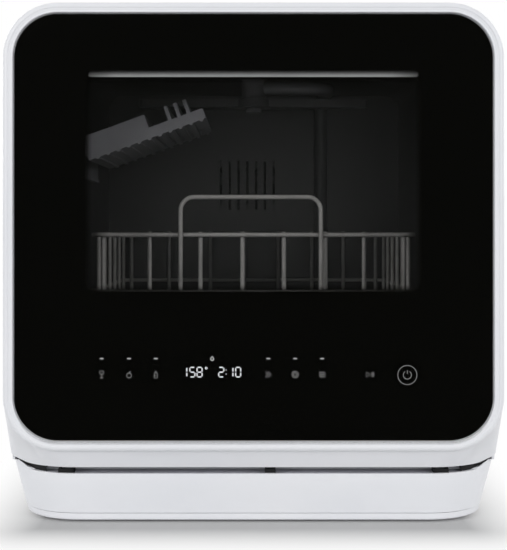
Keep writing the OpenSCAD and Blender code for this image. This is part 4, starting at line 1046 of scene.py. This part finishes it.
def rear_cover():
    """Rear panel with its vent slots, screw wells, inlet cut-out and hose bay."""
    cover = body_prism("rear_panel", 0, CHEEK_Z, LOW_CORNER_R, CABINET_BACK, BACK)
    bevel(cover, lies_at("Y", BACK), REAR_EDGE_R, 4)
    cut(cover, body_prism("room", WALL, CHEEK_Z + 6 * MM, MM, CABINET_BACK - MM, BACK - WALL))
    fan_low, fan_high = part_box("fan_wheel")
    fan_x, fan_z = (fan_low.x + fan_high.x) / 2, (fan_low.z + fan_high.z) / 2
    board_x, board_z = corner("main_board", 0, "X"), corner("main_board", 0, "Z")
    slots = [rear_slot(fan_x + k * 9 * MM, fan_z - FAN_SLOT / 2, fan_z + FAN_SLOT / 2)
             for k in range(-4, 5)]
    slots += [rear_slot(board_x + (8 + 11 * k) * MM, board_z, board_z + BOARD_SLOT)
              for k in range(8)]
    cut(cover, join("slots", slots))
    low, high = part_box("power_inlet")
    cut(cover, slab("inlet_room", low.x + 6 * MM, high.x - 6 * MM, BACK - 8 * MM, BACK + MM,
                    low.z + 6 * MM, high.z - 6 * MM, "Y", 4 * MM, 6))
    cut(cover, rod("hose_bay", "Y", hose_place(), HOSE_BAY_R, 14 * MM, 64))
    wells = [rod("well", "Y", (x, BACK, z), WELL_R, 1.6 * MM, 32) for x, z in screw_spots()]
    cut(cover, join("wells", wells))
    hand_over(cover, "cabinet", "white_plastic", WHITE, "rear_cover")


def hose_place():
    """Middle of the bay that leaves room for a hose on the spigot."""
    low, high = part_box("drain_spigot")
    return (low.x + high.x) / 2, BACK, high.z - 26 * MM


def rear_gauze():
    """Black dust gauze inside the vent slots."""
    low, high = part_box("fan_wheel")
    y0, y1 = BACK - WALL - 1.2 * MM, BACK - WALL - 0.2 * MM
    lap = 4 * MM
    parts = [slab("fan_gauze", low.x - lap, high.x + lap, y0, y1, low.z - lap, high.z + lap, "Y",
                  6 * MM, 6)]
    x, z = corner("main_board", 0, "X"), corner("main_board", 0, "Z")
    parts.append(slab("board_gauze", x, x + 94 * MM, y0, y1, z - lap, z + BOARD_SLOT + lap, "Y",
                      4 * MM, 6))
    hand_over(join("rear_gauze", parts), "cabinet", "black_plastic", GAUZE)


def rear_screws():
    """Cross-head screws in their wells."""
    screws = []
    for x, z in screw_spots():
        head = rod("screw", "Y", (x, BACK - 0.75 * MM, z), SCREW_R, 1.1 * MM, 32)
        bevel(head, lies_at("Y", BACK - 0.2 * MM), 0.5 * MM, 3)
        reach, half, low = 2 * MM, 0.4 * MM, BACK - 0.7 * MM
        cross = block("cross", x - reach, x + reach, low, BACK, z - half, z + half)
        bar = block("bar", x - half, x + half, low, BACK, z - reach, z + reach)
        cut(head, add(cross, bar))
        screws.append(head)
    hand_over(join("rear_screws", screws), "cabinet", "steel", STEEL)


FOOT_R = 13 * MM


def foot_pads():
    """Rubber pads with a bevelled edge and a fixing hole."""
    low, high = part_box("feet")
    r = FOOT_R
    pads = []
    for x in (low.x + r, high.x - r):
        for y in (low.y + r, high.y - r):
            pad = rod("pad", "Z", (x, y, (low.z + high.z) / 2), r, high.z - low.z, 64)
            bevel(pad, lies_at("Z", low.z), 0.6 * MM, 3)
            cut(pad, rod("hole", "Z", (x, y, low.z), 3.5 * MM, 2 * MM, 24))
            pads.append(pad)
    hand_over(join("foot_pads", pads), "cabinet", "black_rubber", RUBBER, "feet")


CAP_T = 2.2 * MM
BARREL_R = 2.8 * MM
PIN_R = 1.3 * MM
SCOOP_R = 8 * MM


def fill_cap():
    """Lid over the filling opening: a softened disc with a ring, a finger scoop and a hinge tab."""
    low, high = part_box("fill_lid")
    r = (high.x - low.x) / 2
    x, y = (low.x + high.x) / 2, low.y + r
    hinge = joint_place("fill_lid_hinge")
    under = TOP - CAP_T
    cap = rod("fill_cap", "Z", (x, y, TOP - CAP_T / 2), r, CAP_T, 128)
    bevel(cap, lies_at("Z", TOP), 0.6 * MM, 4)
    groove = rod("groove", "Z", (x, y, TOP), r - 5 * MM, 0.8 * MM, 96)
    cut(cap, cut(groove, rod("middle", "Z", (x, y, TOP), r - 6 * MM, 2 * MM, 96)))
    skirt = rod("skirt", "Z", (x, y, under - 1.5 * MM), r - 2 * MM, 5 * MM, 96)
    add(cap, cut(skirt, rod("inside", "Z", (x, y, under - 2.5 * MM), r - 4 * MM, 5 * MM, 96)))
    tab = slab("tab", x - 8 * MM, x + 8 * MM, y + r - 3 * MM, hinge.y, under, TOP - 0.2 * MM, "Z",
               MM, 3)
    add(cap, tab)
    add(cap, rod("barrel", "X", (x, hinge.y, hinge.z), BARREL_R, 16 * MM, 32))
    cut(cap, rod("pin_hole", "X", (x, hinge.y, hinge.z), PIN_R, 18 * MM, 24))
    clear()
    bpy.ops.mesh.primitive_uv_sphere_add(radius=SCOOP_R, segments=48, ring_count=24,
                                         location=(x, y - r - SCOOP_R / 2, TOP + SCOOP_R / 2))
    cut(cap, settle("scoop"))
    hand_over(cap, "fill_lid", "white_plastic", WHITE, "fill_lid")


# ---------- stage, light and camera ----------

# The photograph's viewing angle: level, from a little above the middle, framed by the shift
CAMERA_AWAY = 950 * MM
CAMERA_HEIGHT = 250 * MM
LENS = 74.5
SHIFT = -0.083
FLOOR_R = 0.9
SHADOW_REACH = 90 * MM
FLOOR_GLOW = 0.04
ROOM_LIGHT = 0.37
KEY_WATTS = 19
OVERHEAD_WATTS = 4
REAR_WATTS = 10


def on_white_rays(shader):
    """1 for rays that see the background: from the camera, off gloss or through glass."""
    node = shader.nodes.new("ShaderNodeLightPath")
    seen = [Value(shader, node.outputs[name]) for name in
            ("Is Camera Ray", "Is Glossy Ray", "Is Transmission Ray")]
    return (seen[0] + seen[1] + seen[2]).math("MINIMUM", 1.0)


def floor():
    clear()
    bpy.ops.mesh.primitive_circle_add(vertices=128, radius=FLOOR_R, fill_type="NGON",
                                      location=(0, 0.1, 0))
    sheet = settle("floor")
    s = Shader("pale_floor")
    x, y, _ = s.axes()
    # Painted shadow: the floor's white glow fades in with distance from the object's box over SHADOW_REACH, so the
    # floor is darker beside and in front of it; close to the object the real shade from the lamps shows.
    beside = (x.math("ABSOLUTE") - (SIDE - 30 * MM)).math("MAXIMUM", 0.0)
    ahead = (y.math("ABSOLUTE") + FRONT).math("MAXIMUM", 0.0)
    away = ((beside * beside + ahead * ahead).math("SQRT") / SHADOW_REACH).math("MINIMUM", 1.0)
    painted_light_fade = away * (2 - away)
    # Painted shadow: rays that see the background take a darker base colour, 0.5 instead of 0.85, which deepens
    # the floor's shade near the object.
    tone = s.mix(on_white_rays(s), rgb(0.85, 0.85, 0.85), rgb(0.5, 0.5, 0.5))
    lit = s.add("ShaderNodeBsdfPrincipled", {}, {"Base Color": tone, "Roughness": 0.9,
                                                 "Specular IOR Level": 0.0})
    glow = s.add("ShaderNodeEmission", {}, {"Color": rgb(1, 1, 1), "Strength": 1.0})
    part = on_white_rays(s) * (FLOOR_GLOW + painted_light_fade * (1 - FLOOR_GLOW))
    both = s.add("ShaderNodeMixShader", {}, {0: part, 1: lit, 2: glow})
    s.add("ShaderNodeOutputMaterial", {}, {"Surface": both})
    sheet.data.materials.append(s.material)


def lamp(name, place, aim, size, power):
    data = bpy.data.lights.new(name, "AREA")
    data.shape = "RECTANGLE"
    data.size = data.size_y = size
    data.energy = power
    light = bpy.data.objects.new(name, data)
    bpy.context.scene.collection.objects.link(light)
    light.location = place
    light.rotation_euler = (Vector(aim) - Vector(place)).to_track_quat("-Z", "Y").to_euler()


def light_room():
    world = bpy.data.worlds.new("studio")
    bpy.context.scene.world = world
    world.use_nodes = True
    nodes, links = world.node_tree.nodes, world.node_tree.links
    nodes.clear()
    path = nodes.new("ShaderNodeLightPath")
    soft = nodes.new("ShaderNodeBackground")
    soft.inputs["Color"].default_value = rgb(0.97, 0.98, 1.0)
    soft.inputs["Strength"].default_value = ROOM_LIGHT
    white = nodes.new("ShaderNodeBackground")
    white.inputs["Color"].default_value = rgb(1, 1, 1)
    white.inputs["Strength"].default_value = 1.0
    mix = nodes.new("ShaderNodeMixShader")
    out = nodes.new("ShaderNodeOutputWorld")
    add_up = [nodes.new("ShaderNodeMath") for _ in range(2)]
    links.new(path.outputs["Is Camera Ray"], add_up[0].inputs[0])
    links.new(path.outputs["Is Glossy Ray"], add_up[0].inputs[1])
    links.new(add_up[0].outputs[0], add_up[1].inputs[0])
    links.new(path.outputs["Is Transmission Ray"], add_up[1].inputs[1])
    add_up[1].use_clamp = True
    links.new(add_up[1].outputs[0], mix.inputs[0])
    links.new(soft.outputs[0], mix.inputs[1])
    links.new(white.outputs[0], mix.inputs[2])
    links.new(mix.outputs[0], out.inputs[0])
    aim = (0, 0, 0.2)
    lamp("key_left", (-1.5, -1.5, 0.9), aim, 1.2, KEY_WATTS)
    lamp("key_right", (1.5, -1.5, 0.9), aim, 1.2, KEY_WATTS)
    lamp("overhead", (0, 0.5, 2.1), aim, 1.8, OVERHEAD_WATTS)
    lamp("rear_left", (-1.4, 1.7, 0.9), aim, 1.2, REAR_WATTS)
    lamp("rear_right", (1.4, 1.7, 0.9), aim, 1.2, REAR_WATTS)


def camera():
    data = bpy.data.cameras.new("camera")
    data.sensor_width = 36
    data.lens = LENS
    data.shift_y = SHIFT
    view = bpy.data.objects.new("camera", data)
    bpy.context.scene.collection.objects.link(view)
    view.location = (0, FRONT - CAMERA_AWAY, CAMERA_HEIGHT)
    view.rotation_euler = (math.pi / 2, 0, 0)
    bpy.context.scene.camera = view


# ---------- everything ----------

clear()
finish_nodes()
door_shell()
front_pane()
print_mask()
window_dots()
display_digits()
key_marks()
key_icons()
painted_highlight_sheet()
cabinet_cover()
base_cover()
base_deck()
shade_liners_and_stop()
painted_shade_slit_ends()
base_pan()
rear_cover()
rear_gauze()
rear_screws()
foot_pads()
fill_cap()
floor()
light_room()
camera()
bpy.context.scene.view_settings.view_transform = "Standard"
